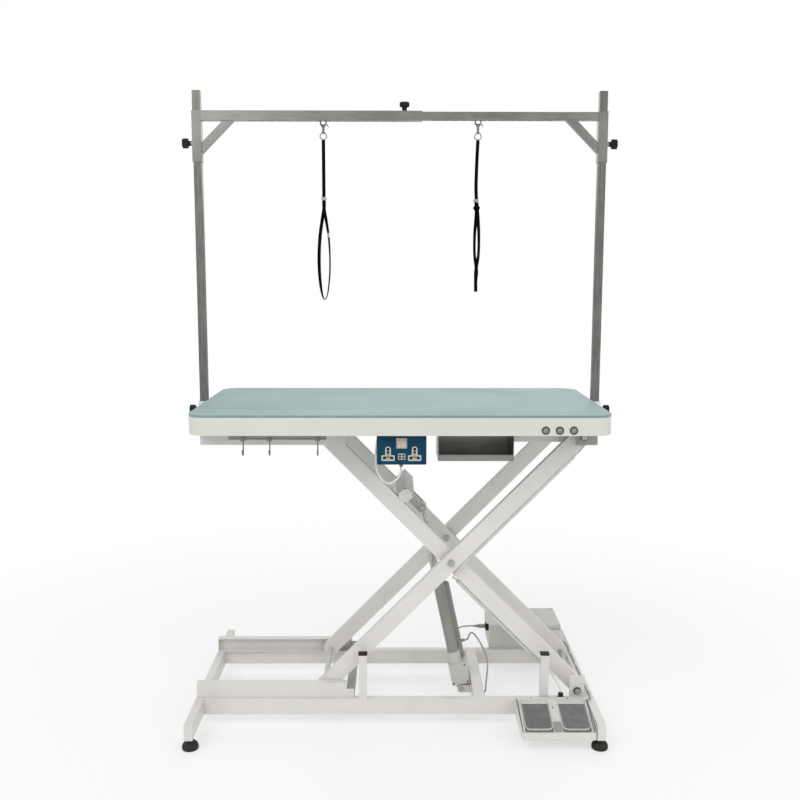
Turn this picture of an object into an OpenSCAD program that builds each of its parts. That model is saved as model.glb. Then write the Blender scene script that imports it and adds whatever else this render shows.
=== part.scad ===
// Electric grooming table: scissor lift, linear actuator, foot pedal, masts, cross bar and restraint loops.
// Millimetres, +Z up. Origin on the floor under the middle of the table. +X right, the front is -Y.

/* [Table top] */
// Length of the table top
table_l = 1250; // [1200:5:1300]
// Depth of the table top
table_w = 650; // [640:5:700]
// Height of the standing surface above the floor, fully raised
table_z = 1013; // [983:5:1028]
// Thickness of the glass top
top_t = 8; // [6:1:12]
// Radius of the table's corners
corner_r = 55; // [40:1:80]
// Height of the bearers inside the apron
bearer_h = 49; // [44:1:60]
// Thickness of the apron's sheet
apron_t = 2; // [1.5:0.5:3]
// Width of the apron's folded lips at the front and the rear
lip_w = 25; // [24:1:30]
// Width of the apron's folded lips at the ends
lip_end_w = 14; // [8:1:14]

/* [Steel tube] */
// Height of the frame tubes
tube_h = 50; // [45:1:60]
// Width of the frame tubes
tube_w = 25; // [20:1:30]
// Wall of the frame tubes
tube_wall = 2; // [1.5:0.5:3]

/* [Base] */
// Length of the base beyond the table's
base_over = 10; // [0:2:20]
// Depth of the base over its cross tubes
base_w = 760; // [720:10:820]
// Distance from the middle of the table to the middle of the base
base_shift = -14; // [-20:1:-5]
// Half distance between the outer faces of the long rails
rail_y = 208; // [204:1:214]
// Height of the adjustable feet
foot_h = 38; // [34:1:46]
// Diameter of a foot's pad
foot_d = 50; // [40:1:60]
// Diameter of a foot's stud
stud_d = 10; // [8:1:12]
// Height of the two rest posts
post_h = 144; // [120:1:146]
// Distance of the left rest post from the hinges
post_left_in = 678; // [662:1:692]
// Distance of the right rest post from the hinges
post_right_in = 105; // [92:1:112]
// Height of the post caps
cap_t = 4; // [3:1:6]

/* [Guide channels] */
// Height of the roller channels
channel_h = 48; // [46:1:54]
// Width of the roller channels
channel_w = 25; // [22:1:28]
// Sheet of the roller channels
channel_t = 3; // [2:0.5:4]
// Sheet of the upper roller channels
upper_channel_t = 5.5; // [5:0.5:7]
// Half distance between the outer faces of the channels
guide_y = 195; // [192:1:198]
// Distance of the roller channels' right ends from the hinges
channel_end_in = 730; // [722:1:737]
// Distance of the upper roller channels from the table's left end
upper_channel_in = 15; // [5:1:20]
// Height of the stop bar at the channels' right ends
stop_h = 30; // [20:1:34]

/* [Scissor arms] */
// Length of an arm between its end pivots
arm_l = 1144; // [1130:1:1170]
// Depth of an arm
arm_h = 50; // [44:1:52]
// Thickness of an arm
arm_t = 25; // [20:1:26]
// Distance of the fixed hinges from the table's end
hinge_in = 63; // [58:1:68]
// Gap between neighbouring arms
arm_gap = 4; // [3:0.5:6]
// Diameter of the hinge shafts and roller axles
shaft_d = 16; // [12:1:20]
// Width of a roller
roller_w = 16; // [12:1:17]
// Diameter of the centre bolts' heads
bolt_head_d = 21; // [20:1:26]
// Thickness of the bolts' heads
bolt_head_t = 7; // [5:1:9]
// Size of the cross tube on the inner arms
cross_tube_s = 40; // [36:1:44]
// Distance of that cross tube from the lower hinge
cross_tube_at = 822; // [810:1:830]
// Thickness of the hinge plates
plate_t = 6; // [4:1:7]
// Height of the lower hinge plates
plate_h = 70; // [60:1:80]
// Half width of the hinge plates
plate_half_w = 24; // [20:1:26]

/* [Actuator] */
// Distance of the actuator's lower pin from the hinges
act_in = 357; // [352:1:362]
// Height of the actuator's lower pin
act_z = 50; // [48:1:56]
// Middle plane of the actuator
act_y = -30; // [-40:1:-20]
// Distance of the rod pin from the lower hinge, along the inner arms
rod_pin_at = 739; // [734:1:744]
// Height of the rod pin over the inner arms' centre line
rod_pin_up = 40; // [38:1:44]
// Diameter of both actuator pins
act_pin_d = 12; // [10:1:14]
// Outer diameter of the actuator's tube
act_tube_d = 36; // [34:1:37]
// Bore of the actuator's tube
act_tube_bore = 31; // [30:0.5:32]
// Distance of the tube's mouth from the lower pin
act_tube_end = 385; // [370:1:388]
// Diameter of the rod
rod_d = 28; // [25:1:28]
// Diameter of the rod's neck at its eye
neck_d = 20; // [19:1:22]
// Bore of the rod
rod_bore = 13.4; // [13:0.2:15]
// Diameter of the lead screw
screw_d = 12; // [10:1:12]
// Diameter of the motor
motor_d = 36; // [32:1:38]
// Top of the motor above the lower pin
motor_end = 350; // [300:1:360]
// Offset of the motor along the table
motor_dx = 16; // [14:1:18]
// Offset of the motor across the table
motor_dy = 37; // [36:1:40]
// Width of the base's actuator cross tube
act_cross_w = 35; // [30:1:40]
// Distance of the actuator cross tube's left face from the hinges
act_cross_in = 325; // [320:1:330]

/* [Masts and bar] */
// Outer size of the masts
mast_s = 25; // [22:0.5:26]
// Wall of the masts
mast_wall = 1.5; // [1.2:0.1:2]
// Place of the masts behind the middle of the table
mast_y = 45; // [30:1:60]
// Lower end of the masts
mast_z0 = 930; // [926:1:940]
// Upper end of the masts, under their caps
mast_z1 = 1984; // [1960:1:2000]
// Wall of the mast sockets
socket_wall = 4; // [3:0.5:5]
// Wall of the sleeves and of the outer bar
sleeve_wall = 2.2; // [2:0.1:2.6]
// Clearance between sliding square tubes
slide_gap = 0.3; // [0.2:0.05:0.5]
// Lower end of the sleeves
sleeve_z0 = 1770; // [1760:1:1790]
// Upper end of the sleeves and of the bar
sleeve_z1 = 1928; // [1925:1:1935]
// Right end of the outer bar
outer_bar_x = 70; // [60:1:80]
// Overlap of the two bars
bar_overlap = 130; // [80:5:180]
// Outer size of the braces
brace_s = 24; // [20:0.5:24]
// Length of a brace's legs
brace_leg = 85; // [75:1:95]
// Pitch of the slots under the bar
slot_pitch = 30; // [28:1:34]
// Steel left between two slots
slot_bridge = 6; // [5:0.5:6.5]
// Width of the slots
slot_w = 8; // [7:0.5:10]

/* [Knobs] */
// Diameter of the clamp knobs
knob_d = 31; // [28:1:34]
// Thickness of the clamp knobs
knob_t = 19; // [16:1:20]
// Reach of the clamp knobs from the middle of the mast
knob_reach = 48.2; // [44.2:0.5:52.2]
// Diameter of the clamp screws
screw_clamp_d = 8; // [6:1:9]
// Height of the lower clamp screws
low_knob_z = 976; // [972:1:985]
// Height of the sleeves' clamp screws
sleeve_knob_z = 1828; // [1815:1:1840]
// Place of the bar's clamp screw
bar_knob_x = 14; // [5:1:25]

/* [Restraint loops] */
// Place of the left loop
loop_left_x = -243; // [-250:1:-235]
// Place of the right loop
loop_right_x = 247; // [240:1:255]
// Width of the webbing
strap_w = 11; // [9:0.5:13]
// Thickness of the webbing
strap_t = 2.6; // [2:0.2:3]
// Mean radius of the hook's bow
bow_r = 9; // [8.8:0.1:9.4]
// Wire of the hook's bow
bow_wire = 4; // [3.4:0.2:4.2]
// Mean radius of the ring
ring_r = 10.5; // [9.5:0.5:11]
// Wire of the ring
ring_wire = 3; // [2.5:0.5:3.5]

/* [Under the table] */
// Distance of the hook rail from the table's left end
hook_rail_in = 121; // [115:1:130]
// Length of the hook rail
hook_rail_l = 287; // [280:1:294]
// Height of the hook rail
hook_rail_h = 15; // [13:1:18]
// Diameter of the hooks' wire
hook_wire = 4; // [3:0.5:5]
// Length of the hooks' stems
hook_stem = 34; // [28:1:38]
// Radius of the hooks' bends
hook_bend = 8; // [6:0.5:9]
// Width of the socket plate
socket_w = 146; // [140:1:150]
// Height of the socket plate
socket_h = 86; // [82:1:90]
// Middle of the socket plate
socket_x = 4.5; // [0:0.5:10]
// Depth of the socket's back box
socket_d = 40; // [34:1:46]
// Front face of the socket plate, behind the table's front
socket_back = 23; // [20:1:26]
// Left end of the tool tray
tray_x0 = 111; // [105:1:116]
// Length of the tool tray
tray_l = 222; // [200:1:230]
// Depth of the tool tray
tray_d = 134; // [110:1:136]
// Height of the tool tray
tray_h = 76; // [68:1:80]
// Height of the tray's front lip
tray_lip = 17; // [12:1:22]
// Sheet of the tool tray
tray_t = 1.5; // [1:0.5:2]
// Distance of the middle push button from the table's right end
button_in = 160; // [150:1:170]
// Height of the push buttons above the apron's lower edge
button_up = 16; // [15:1:22]
// Pitch of the push buttons
button_pitch = 41; // [34:1:46]
// Diameter of the push buttons' rims
button_rim_d = 25; // [23:1:28]
// Diameter of the push buttons' caps
button_cap_d = 16; // [14:1:18]

/* [Pedal] */
// Distance of the pedal unit's middle from the base's right end
pedal_in = 139; // [136:1:142]
// Length of the pedal tray
pedal_tray_l = 222; // [216:1:224]
// Front edge of the pedal tray, in front of the middle
pedal_front = 376; // [370:1:380]
// Sheet of the pedal tray
pedal_sheet = 2; // [1.5:0.5:3]
// Width of one pedal
pedal_w = 84; // [76:1:86]
// Width of the console between the pedals
console_w = 30; // [26:1:34]
// Length of one pedal
pedal_l = 122; // [110:1:124]
// Diameter of the pedals' pin
pedal_pin_d = 4; // [3:0.5:5]

/* [Control box] */
// Length of the control box
box_l = 256; // [240:1:258]
// Depth of the control box
box_w = 174; // [160:1:176]
// Height of the control box
box_h = 83; // [75:1:90]
// Distance of the control box's left side from the base's right end
box_in = 294; // [291:1:301]
// Front of the control box
box_y = 201; // [199:1:204]
// Sheet of the control box
box_t = 2; // [1.5:0.5:2.5]

/* [Cables] */
// Diameter of the conduits along the arms
conduit_d = 14; // [12:1:15]
// Diameter of the leads
lead_d = 5; // [4:0.5:6]
// Diameter of the socket's cord
cord_d = 6; // [5:0.5:7]

/* [Fits] */
// Radial clearance of a shaft in its bore
run_gap = 0.05; // [0.02:0.01:0.08]
// Clearance between a roller and its channel
roll_gap = 0.4; // [0.3:0.1:0.6]
// Clearance between parts that pass each other
pass_gap = 0.5; // [0.4:0.1:0.8]

/* [Hidden] */
$fn = 48;

deck_z = table_z - top_t;
apron_h = bearer_h + 2 * apron_t;
apron_z = deck_z - apron_h;
bearer_z = apron_z + apron_t;
rail_top = foot_h + tube_h;
hinge_x = table_l / 2 - hinge_in;
base_l = table_l + base_over;
upper_channel_x = upper_channel_in - table_l / 2;
channel_end_x = hinge_x - channel_end_in;
post_left_x = hinge_x - post_left_in;
post_right_x = hinge_x - post_right_in;
act_x = hinge_x - act_in;
act_cross_x = hinge_x - act_cross_in;
button_x = table_l / 2 - button_in;
upper_channel_h = channel_h + 2 * (upper_channel_t - channel_t);
high_z = bearer_z - upper_channel_h / 2;
low_z = rail_top + channel_h / 2;
arm_rise = high_z - low_z;
arm_angle = asin(arm_rise / arm_l);
roller_x = hinge_x - arm_l * cos(arm_angle);
base_x0 = base_shift - base_l / 2;
base_x1 = base_shift + base_l / 2;
pedal_x = base_x1 - pedal_in;
box_x = base_x1 - box_in;
outer_arm_y = guide_y - channel_w - 2;
inner_arm_y = outer_arm_y - arm_t - arm_gap;
roller_d = channel_h - 2 * channel_t - 2 * roll_gap;
axle_half = guide_y - channel_t - pass_gap;
boss_r = shaft_d / 2 + 8;
bar_s = mast_s + 2 * slide_gap + 2 * sleeve_wall;
bar_z = sleeve_z1 - bar_s;
mast_x = table_l / 2 + socket_wall + slide_gap + mast_s / 2;
knob_x = mast_x + knob_reach;
sleeve_in_x = mast_x - bar_s / 2;
mast_cap_t = 6;

rod_pin_x = hinge_x - rod_pin_at * cos(arm_angle) + rod_pin_up * sin(arm_angle);
rod_pin_z = low_z + rod_pin_at * sin(arm_angle) + rod_pin_up * cos(arm_angle);
act_len = norm([rod_pin_x - act_x, rod_pin_z - act_z]);
act_lean = atan2(rod_pin_x - act_x, rod_pin_z - act_z);
echo(arm_angle = arm_angle, roller_x = roller_x, low_z = low_z, high_z = high_z);
echo(rod_pin = [rod_pin_x, rod_pin_z], act_len = act_len, act_lean = act_lean, mast_x = mast_x);

// Basic shapes
module block(x, y, z) {
    translate([x[0], y[0], z[0]])
        cube([x[1] - x[0], y[1] - y[0], z[1] - z[0]]);
}

module rounded_plate(l, w, r, h) {
    linear_extrude(h)
        union() {
            square([l - 2 * r, w], center = true);
            square([l, w - 2 * r], center = true);
            for (sx = [-1, 1], sy = [-1, 1])
                translate([sx * (l / 2 - r), sy * (w / 2 - r)])
                    circle(r);
        }
}

module along_y(x, z, y0, y1, d) {
    translate([x, y1, z])
        rotate([90, 0, 0])
            cylinder(d = d, h = y1 - y0);
}

module along_x(x0, x1, y, z, d) {
    translate([x0, y, z])
        rotate([0, 90, 0])
            cylinder(d = d, h = x1 - x0);
}

// Square tube along Z with an open bore
module upright(s, wall, z0, z1) {
    difference() {
        block([-s / 2, s / 2], [-s / 2, s / 2], [z0, z1]);
        block([wall - s / 2, s / 2 - wall], [wall - s / 2, s / 2 - wall], [z0 - 1, z1 + 1]);
    }
}

module front_and_rear() {
    children();
    mirror([0, 1, 0])
        children();
}

// A tube swept along points, with an elliptic section that is w wide and t thick
function unit(v) = v / norm(v);
function heading(p, i) = unit(p[min(i + 1, len(p) - 1)] - p[max(i - 1, 0)]);
function ring(p, i, w, t, up, sides) =
    let (h = heading(p, i), a = unit(cross(h, up)), b = cross(a, h))
    [for (k = [0:sides - 1]) p[i] + a * (w / 2) * cos(360 * k / sides) + b * (t / 2) * sin(360 * k / sides)];
function from_x(x, p) = [for (q = p) q + [x, 0, 0]];
module swept(p, w, t, up, sides) {
    n = len(p);
    polyhedron(
        points = [for (i = [0:n - 1]) each ring(p, i, w, t, up, sides)],
        faces = concat(
            [for (i = [0:n - 2], k = [0:sides - 1])
                [i * sides + k, i * sides + (k + 1) % sides, (i + 1) * sides + k]],
            [for (i = [0:n - 2], k = [0:sides - 1])
                [i * sides + (k + 1) % sides, (i + 1) * sides + (k + 1) % sides, (i + 1) * sides + k]],
            [for (k = [1:sides - 2]) [0, k + 1, k]],
            [for (k = [1:sides - 2]) [(n - 1) * sides, (n - 1) * sides + k, (n - 1) * sides + k + 1]]));
}

// Frames of the moving groups at rest
module on_outer() {
    translate([roller_x, 0, low_z])
        rotate([0, -arm_angle, 0])
            children();
}

module on_inner() {
    translate([hinge_x, 0, low_z])
        rotate([0, arm_angle - 180, 0])
            children();
}

module on_actuator() {
    translate([act_x, act_y, act_z])
        rotate([0, act_lean, 0])
            children();
}

// Base
foot_inset = 28;
foot_x = [base_x0 + tube_w / 2, base_x1 - tube_w / 2];
foot_y = base_w / 2 - foot_inset;
stud_depth = 30;
drain_d = 6;

module base_cross_tubes() {
    color("#E0DFDB")
        for (x0 = [base_x0, base_x1 - tube_w]) {
            difference() {
                block([x0, x0 + tube_w], [-base_w / 2, base_w / 2], [foot_h, rail_top]);
                block([x0 + tube_wall, x0 + tube_w - tube_wall],
                    [-foot_y + stud_d + 2, foot_y - stud_d - 2],
                    [foot_h + tube_wall, rail_top - tube_wall]);
                for (sy = [-1, 1])
                    translate([x0 + tube_w / 2, sy * foot_y, foot_h - 1])
                        cylinder(d = stud_d + 2 * run_gap, h = stud_depth + 1);
                translate([x0 + tube_w / 2, 0, foot_h - 1])
                    cylinder(d = drain_d, h = tube_wall + 2);
            }
        }
}

module rest_post(x) {
    translate([x, -rail_y + tube_w / 2, 0])
        upright(tube_w, tube_wall, rail_top, rail_top + post_h);
    plug = tube_w - 2 * tube_wall;
    translate([x, -rail_y + tube_w / 2, rail_top + post_h]) {
        block([-tube_w / 2, tube_w / 2], [-tube_w / 2, tube_w / 2], [0, cap_t]);
        block([-plug / 2, plug / 2], [-plug / 2, plug / 2], [-12, 0]);
    }
}

module base_rails() {
    color("#DCDBD7")
        front_and_rear()
            difference() {
                block([base_x0 + tube_w, base_x1 - tube_w], [-rail_y, tube_w - rail_y], [foot_h, rail_top]);
                block([base_x0 + tube_w - 1, base_x1 - tube_w + 1],
                    [tube_wall - rail_y, tube_w - tube_wall - rail_y],
                    [foot_h + tube_wall, rail_top - tube_wall]);
            }
    color("#DCDBD7") {
        rest_post(post_left_x);
        rest_post(post_right_x);
    }
}

lug_gap = 15;
lug_r = 12.5;
module actuator_cross_tube() {
    color("#D6D5D0") {
        difference() {
            block([act_cross_x, act_cross_x + act_cross_w], [tube_w - rail_y, rail_y - tube_w],
                [foot_h, rail_top]);
            block([act_cross_x + tube_wall, act_cross_x + act_cross_w - tube_wall],
                [tube_w - rail_y - 1, rail_y - tube_w + 1], [foot_h + tube_wall, rail_top - tube_wall]);
        }
        for (y0 = [act_y - lug_gap - pass_gap - plate_t, act_y + lug_gap + pass_gap])
            difference() {
                union() {
                    along_y(act_x, act_z, y0, y0 + plate_t, 2 * lug_r);
                    block([act_x, act_cross_x], [y0, y0 + plate_t], [act_z - lug_r + 0.5, act_z + lug_r]);
                }
                along_y(act_x, act_z, y0 - 1, y0 + plate_t + 1, act_pin_d + 2 * run_gap);
            }
    }
    lug_out = lug_gap + pass_gap + plate_t;
    color("#8C8A86") {
        along_y(act_x, act_z, act_y - lug_out - 0.2, act_y + lug_out + 0.2, act_pin_d);
        along_y(act_x, act_z, act_y - lug_out - 6, act_y - lug_out - 0.2, act_pin_d + 6);
        along_y(act_x, act_z, act_y + lug_out + 0.2, act_y + lug_out + 6, act_pin_d + 6);
    }
}

module channel(x0, x1, z0, h, t) {
    difference() {
        block([x0, x1], [-guide_y, channel_w - guide_y], [z0, z0 + h]);
        block([x0 + channel_t, x1 + 1], [channel_t - guide_y, channel_w - guide_y + 1],
            [z0 + t, z0 + h - t]);
    }
}

hinge_head_t = 5;
module hinge_shaft(x, z) {
    along_y(x, z, -guide_y - 0.2, guide_y + 0.2, shaft_d);
    front_and_rear()
        along_y(x, z, -guide_y - hinge_head_t, -guide_y - 0.2, shaft_d + 8);
}

// A hinge plate with its boss reaching in to the arm
module hinge_plate(x1, z0, z1, axis_z, arm_y) {
    difference() {
        union() {
            block([hinge_x - plate_half_w, x1], [-guide_y, plate_t - guide_y], [z0, z1]);
            along_y(hinge_x, axis_z, plate_t - guide_y, -arm_y - pass_gap, shaft_d + 10);
        }
        along_y(hinge_x, axis_z, -guide_y - 1, -arm_y + 1, shaft_d + 2 * run_gap);
    }
}

module base_runners() {
    color("#D9D8D4")
        front_and_rear() {
            channel(base_x0 + 2, channel_end_x, rail_top, channel_h, channel_t);
            hinge_plate(hinge_x + plate_half_w, rail_top, rail_top + plate_h, low_z, inner_arm_y);
        }
    color("#55565A")
        block([channel_end_x, channel_end_x + tube_w], [-guide_y, guide_y], [rail_top, rail_top + stop_h]);
    color("#8C8A86")
        hinge_shaft(hinge_x, low_z);
}

// Control box
shelf_t = 2;
box_z = rail_top + shelf_t;
socket_hole_y = box_y + 34;
socket_hole_z = box_z + 68;
plug_d = 15;

module control_box() {
    color("#CFCECA") {
        difference() {
            block([box_x, box_x + box_l], [box_y, box_y + box_w], [box_z, box_z + box_h - box_t]);
            block([box_x + box_t, box_x + box_l - box_t], [box_y + box_t, box_y + box_w - box_t],
                [box_z + box_t, box_z + box_h]);
        }
        block([box_x, base_x1 - 2], [guide_y + 1, box_y + box_w], [rail_top, box_z]);
    }
    color("#222222")
        translate([box_x - 9, socket_hole_y - 13, socket_hole_z - 13])
            cube([9, 26, 26]);
}

module control_box_cover() {
    color("#D5D4CF") {
        block([box_x, box_x + box_l], [box_y, box_y + box_w], [box_z + box_h - box_t, box_z + box_h]);
        difference() {
            block([box_x + box_t + pass_gap, box_x + box_l - box_t - pass_gap],
                [box_y + box_t + pass_gap, box_y + box_w - box_t - pass_gap],
                [box_z + box_h - box_t - 12, box_z + box_h - box_t]);
            block([box_x + 2 * box_t + pass_gap, box_x + box_l - 2 * box_t - pass_gap],
                [box_y + 2 * box_t + pass_gap, box_y + box_w - 2 * box_t - pass_gap],
                [box_z + box_h - box_t - 13, box_z + box_h - box_t]);
        }
    }
    color("#222222")
        translate([box_x + box_l * 0.586, box_y + box_w - 30, box_z + box_h])
            cylinder(d = 14, h = 9);
}

board_in = 20;
board_t = 1.6;
board_z = box_z + 12;
module control_board() {
    color("#2F6B45") {
        block([box_x + board_in, box_x + box_l - 1.8 * board_in],
            [box_y + board_in, box_y + box_w - 1.7 * board_in], [board_z, board_z + board_t]);
        for (x = [box_x + 1.4 * board_in, box_x + box_l - 2.2 * board_in],
            y = [box_y + 1.4 * board_in, box_y + box_w - 2.1 * board_in])
            translate([x, y, box_z + box_t])
                cylinder(d = board_in * 0.4, h = board_z - box_z - box_t);
        block([box_x + 2 * board_in, box_x + 5 * board_in], [box_y + 2.5 * board_in, box_y + 5 * board_in],
            [board_z + board_t, box_z + 0.7 * box_h]);
        for (k = [0:2])
            translate([box_x + (6.5 + 1.25 * k) * board_in, box_y + 3.5 * board_in, board_z + board_t])
                cylinder(d = board_in * 0.8, h = box_h * 0.31);
    }
}

// Feet
foot_pad_h = 12;
foot_dome_h = 15;
module foot(x, y) {
    top = foot_pad_h + foot_dome_h;
    color("#1E1E1E")
        translate([x, y, 0]) {
            cylinder(d = foot_d, h = foot_pad_h);
            translate([0, 0, foot_pad_h])
                cylinder(d1 = foot_d, d2 = foot_d * 0.55, h = foot_dome_h);
            translate([0, 0, top])
                cylinder(d = foot_d * 0.4, h = foot_h - top - pass_gap);
            translate([0, 0, foot_h - pass_gap])
                cylinder(d = stud_d, h = 26);
        }
}

// Foot pedal
pedal_z = foot_h - 1;
pedal_back = rail_y + pedal_sheet;
case_front = pedal_front - 6;
case_back = pedal_back + 8;
case_w = 2 * pedal_w + console_w + 14;
ramp_back_z = pedal_z + 47;
ramp_front_z = pedal_z + 9;
hinge_wall = 14;
pin_y = -(case_back + hinge_wall + 8);
pin_z = ramp_back_z + 4;
pedal_slope = 12.4;

module pedal_tray() {
    x0 = pedal_x - pedal_tray_l / 2;
    x1 = pedal_x + pedal_tray_l / 2;
    color("#DEDDD9") {
        block([x0, x1], [-pedal_front, -pedal_back], [pedal_z, pedal_z + pedal_sheet]);
        block([x0, x1], [-pedal_front, pedal_sheet - pedal_front], [pedal_z, pedal_z + 24]);
        block([x0, x1], [-pedal_back, pedal_sheet - pedal_back], [pedal_z, rail_top + pedal_sheet]);
        for (x = [x0, x1 - pedal_sheet])
            translate([x, 0, 0])
                rotate([90, 0, 90])
                    linear_extrude(pedal_sheet)
                        polygon([[-pedal_front, pedal_z], [-pedal_back, pedal_z], [-pedal_back, rail_top],
                            [-pedal_front, pedal_z + 24]]);
        for (x = [x0 + 4, x1 - 113])
            block([x, x + 30], [-pedal_back, tube_w - rail_y - 2], [rail_top, rail_top + pedal_sheet]);
    }
}

module ramp(x0, w, rise) {
    translate([x0, 0, 0])
        rotate([90, 0, 90])
            linear_extrude(w)
                polygon([[-case_front, pedal_z + pedal_sheet], [-case_back, pedal_z + pedal_sheet],
                    [-case_back, ramp_back_z + 16], [-case_back - hinge_wall, ramp_back_z + 16],
                    [-case_back - hinge_wall, ramp_back_z + rise], [-case_front, ramp_front_z + rise]]);
}

module pedal_case() {
    left = pedal_x - console_w / 2 - pedal_w - 7;
    color("#D8D7D2")
        difference() {
            union() {
                ramp(left, case_w, 0);
                ramp(pedal_x - console_w / 2 + pass_gap, console_w - 2 * pass_gap, 12);
                for (x = [left, left + case_w - 6])
                    ramp(x, 6, 12);
            }
            along_x(left + 2, left + case_w - 2, pin_y, pin_z, pedal_pin_d + 2 * run_gap);
        }
    color("#8C8A86")
        along_x(left + 2.2, left + case_w - 2.2, pin_y, pin_z, pedal_pin_d);
}

module pedal(x0) {
    color("#707270")
        translate([x0, pin_y, pin_z])
            rotate([pedal_slope, 0, 0])
                rotate([90, 0, 90])
                    linear_extrude(pedal_w)
                        difference() {
                            union() {
                                translate([-pedal_l, -3.5])
                                    square([pedal_l, 7.5]);
                                circle(r = 4.5);
                            }
                            circle(d = pedal_pin_d + 2 * run_gap);
                        }
}

module pedal_left() {
    pedal(pedal_x - console_w / 2 - pedal_w);
}

module pedal_right() {
    pedal(pedal_x + console_w / 2);
}

// Scissor arms: x runs from the lower pivot of the arm to its upper one
module arm(y0) {
    color("#E2E1DD")
        difference() {
            translate([0, y0 + arm_t, 0])
                rotate([90, 0, 0])
                    linear_extrude(arm_t)
                        difference() {
                            union() {
                                translate([0, -arm_h / 2])
                                    square([arm_l, arm_h]);
                                circle(d = arm_h);
                                translate([arm_l, 0])
                                    circle(d = arm_h);
                            }
                            for (x = [0, arm_l / 2, arm_l])
                                translate([x, 0])
                                    circle(d = shaft_d + 2 * run_gap);
                        }
            for (x = [boss_r, arm_l / 2 + boss_r]) {
                block([x, x + arm_l / 2 - 2 * boss_r], [y0 + tube_wall, y0 + arm_t - tube_wall],
                    [tube_wall - arm_h / 2, arm_h / 2 - tube_wall]);
                translate([x + arm_l / 4 - boss_r, y0 + arm_t / 2, 0])
                    cylinder(d = drain_d, h = arm_h);
            }
        }
}

module inner_arm_front() {
    on_inner()
        arm(-inner_arm_y);
}

module inner_arm_rear() {
    on_inner()
        arm(inner_arm_y - arm_t);
}

module outer_arm_front() {
    on_outer()
        arm(-outer_arm_y);
}

module outer_arm_rear() {
    on_outer()
        arm(outer_arm_y - arm_t);
}

eye_half = 12;
ear_r = 16;
module inner_cross_tube() {
    s = cross_tube_s;
    color("#D9D8D4")
        on_inner() {
            difference() {
                block([cross_tube_at - s / 2, cross_tube_at + s / 2], [-inner_arm_y, inner_arm_y],
                    [-arm_h / 2 - s, -arm_h / 2]);
                block([cross_tube_at - s / 2 + tube_wall, cross_tube_at + s / 2 - tube_wall],
                    [-inner_arm_y - 1, inner_arm_y + 1],
                    [tube_wall - arm_h / 2 - s, -arm_h / 2 - tube_wall]);
            }
            for (y0 = [act_y - eye_half - pass_gap - plate_t, act_y + eye_half + pass_gap])
                difference() {
                    union() {
                        along_y(rod_pin_at, -rod_pin_up, y0, y0 + plate_t, 2 * ear_r);
                        block([rod_pin_at, cross_tube_at - s / 2], [y0, y0 + plate_t],
                            [-rod_pin_up - ear_r, -rod_pin_up + ear_r]);
                    }
                    along_y(rod_pin_at, -rod_pin_up, y0 - 1, y0 + plate_t + 1, act_pin_d + 2 * run_gap);
                }
        }
    color("#8C8A86")
        on_inner()
            for (side = [-1, 1]) {
                face = act_y + side * (eye_half + pass_gap + plate_t / 2);
                along_y(rod_pin_at, -rod_pin_up, face - plate_t / 2, face + plate_t / 2, act_pin_d);
                out = act_y + side * (eye_half + pass_gap + plate_t + 3);
                along_y(rod_pin_at, -rod_pin_up, out - 3, out + 3, act_pin_d + 6);
            }
}

module pivot_bolts() {
    mid_y = outer_arm_y - arm_t;
    color("#8C8A86")
        on_outer()
            front_and_rear() {
                nut_y = arm_t - inner_arm_y + pass_gap;
                along_y(arm_l / 2, 0, -outer_arm_y, nut_y + 8, shaft_d);
                along_y(arm_l / 2, 0, -outer_arm_y - bolt_head_t, -outer_arm_y, bolt_head_d);
                along_y(arm_l / 2, 0, nut_y, nut_y + 8, bolt_head_d);
                along_y(arm_l / 2, 0, -mid_y, -inner_arm_y - pass_gap, shaft_d + 12);
            }
}

// Roller sets: an axle across both arms with a roller on each end
module roller_set() {
    color("#8C8A86")
        along_y(0, 0, -axle_half, axle_half, shaft_d);
    color("#3A3A3C")
        front_and_rear()
            difference() {
                along_y(0, 0, -axle_half, roller_w - axle_half, roller_d);
                along_y(0, 0, -axle_half - 1, roller_w - axle_half + 1, shaft_d + 2 * run_gap);
            }
}

module lower_rollers() {
    translate([roller_x, 0, low_z])
        roller_set();
}

module upper_rollers() {
    translate([roller_x, 0, high_z])
        roller_set();
}

// Conduits and leads on the arms
outer_run = [arm_l / 2 + 65, arm_l - 62];
inner_run = [126, arm_l / 2 - 66];
conduit_off = arm_h / 2 + conduit_d / 2 + 0.3;
module outer_conduit() {
    y = arm_t / 2 - outer_arm_y;
    color("#C8C8C4")
        on_outer() {
            along_x(outer_run[0], outer_run[1], y, -conduit_off, conduit_d);
            r = conduit_off + 3;
            turn = [for (a = [-118:20:42]) [arm_l + r * cos(a), y, r * sin(a)]];
            swept(concat([[outer_run[1], y, -conduit_off], [arm_l - 40, y, -conduit_off - 1]], turn),
                lead_d + 2, lead_d + 2, [0, 1, 0], 8);
        }
}

module inner_conduit() {
    y = arm_t / 2 - inner_arm_y;
    color("#C8C8C4")
        on_inner()
            along_x(inner_run[0], inner_run[1], y, conduit_off, conduit_d);
}

// Points from the middle pivot, in the outer arms' frame
pivot_cable_route = [[64.9, -155.5, -32.3], [52, -155.5, -32.3], [36, -155, -33], [20, -154, -34],
    [4, -152, -36], [-11, -149.5, -38], [-24, -146.5, -41], [-33, -141, -44], [-36, -134, -48],
    [-35, -128.5, -54], [-33.4, -126.5, -61], [-33.4, -126.5, -65.2]];
module pivot_cable() {
    color("#E4E4DE")
        on_outer()
            swept([for (p = pivot_cable_route) p + [arm_l / 2, 0, 0]], lead_d + 1, lead_d + 1, [0, 1, 0], 8);
}

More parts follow.
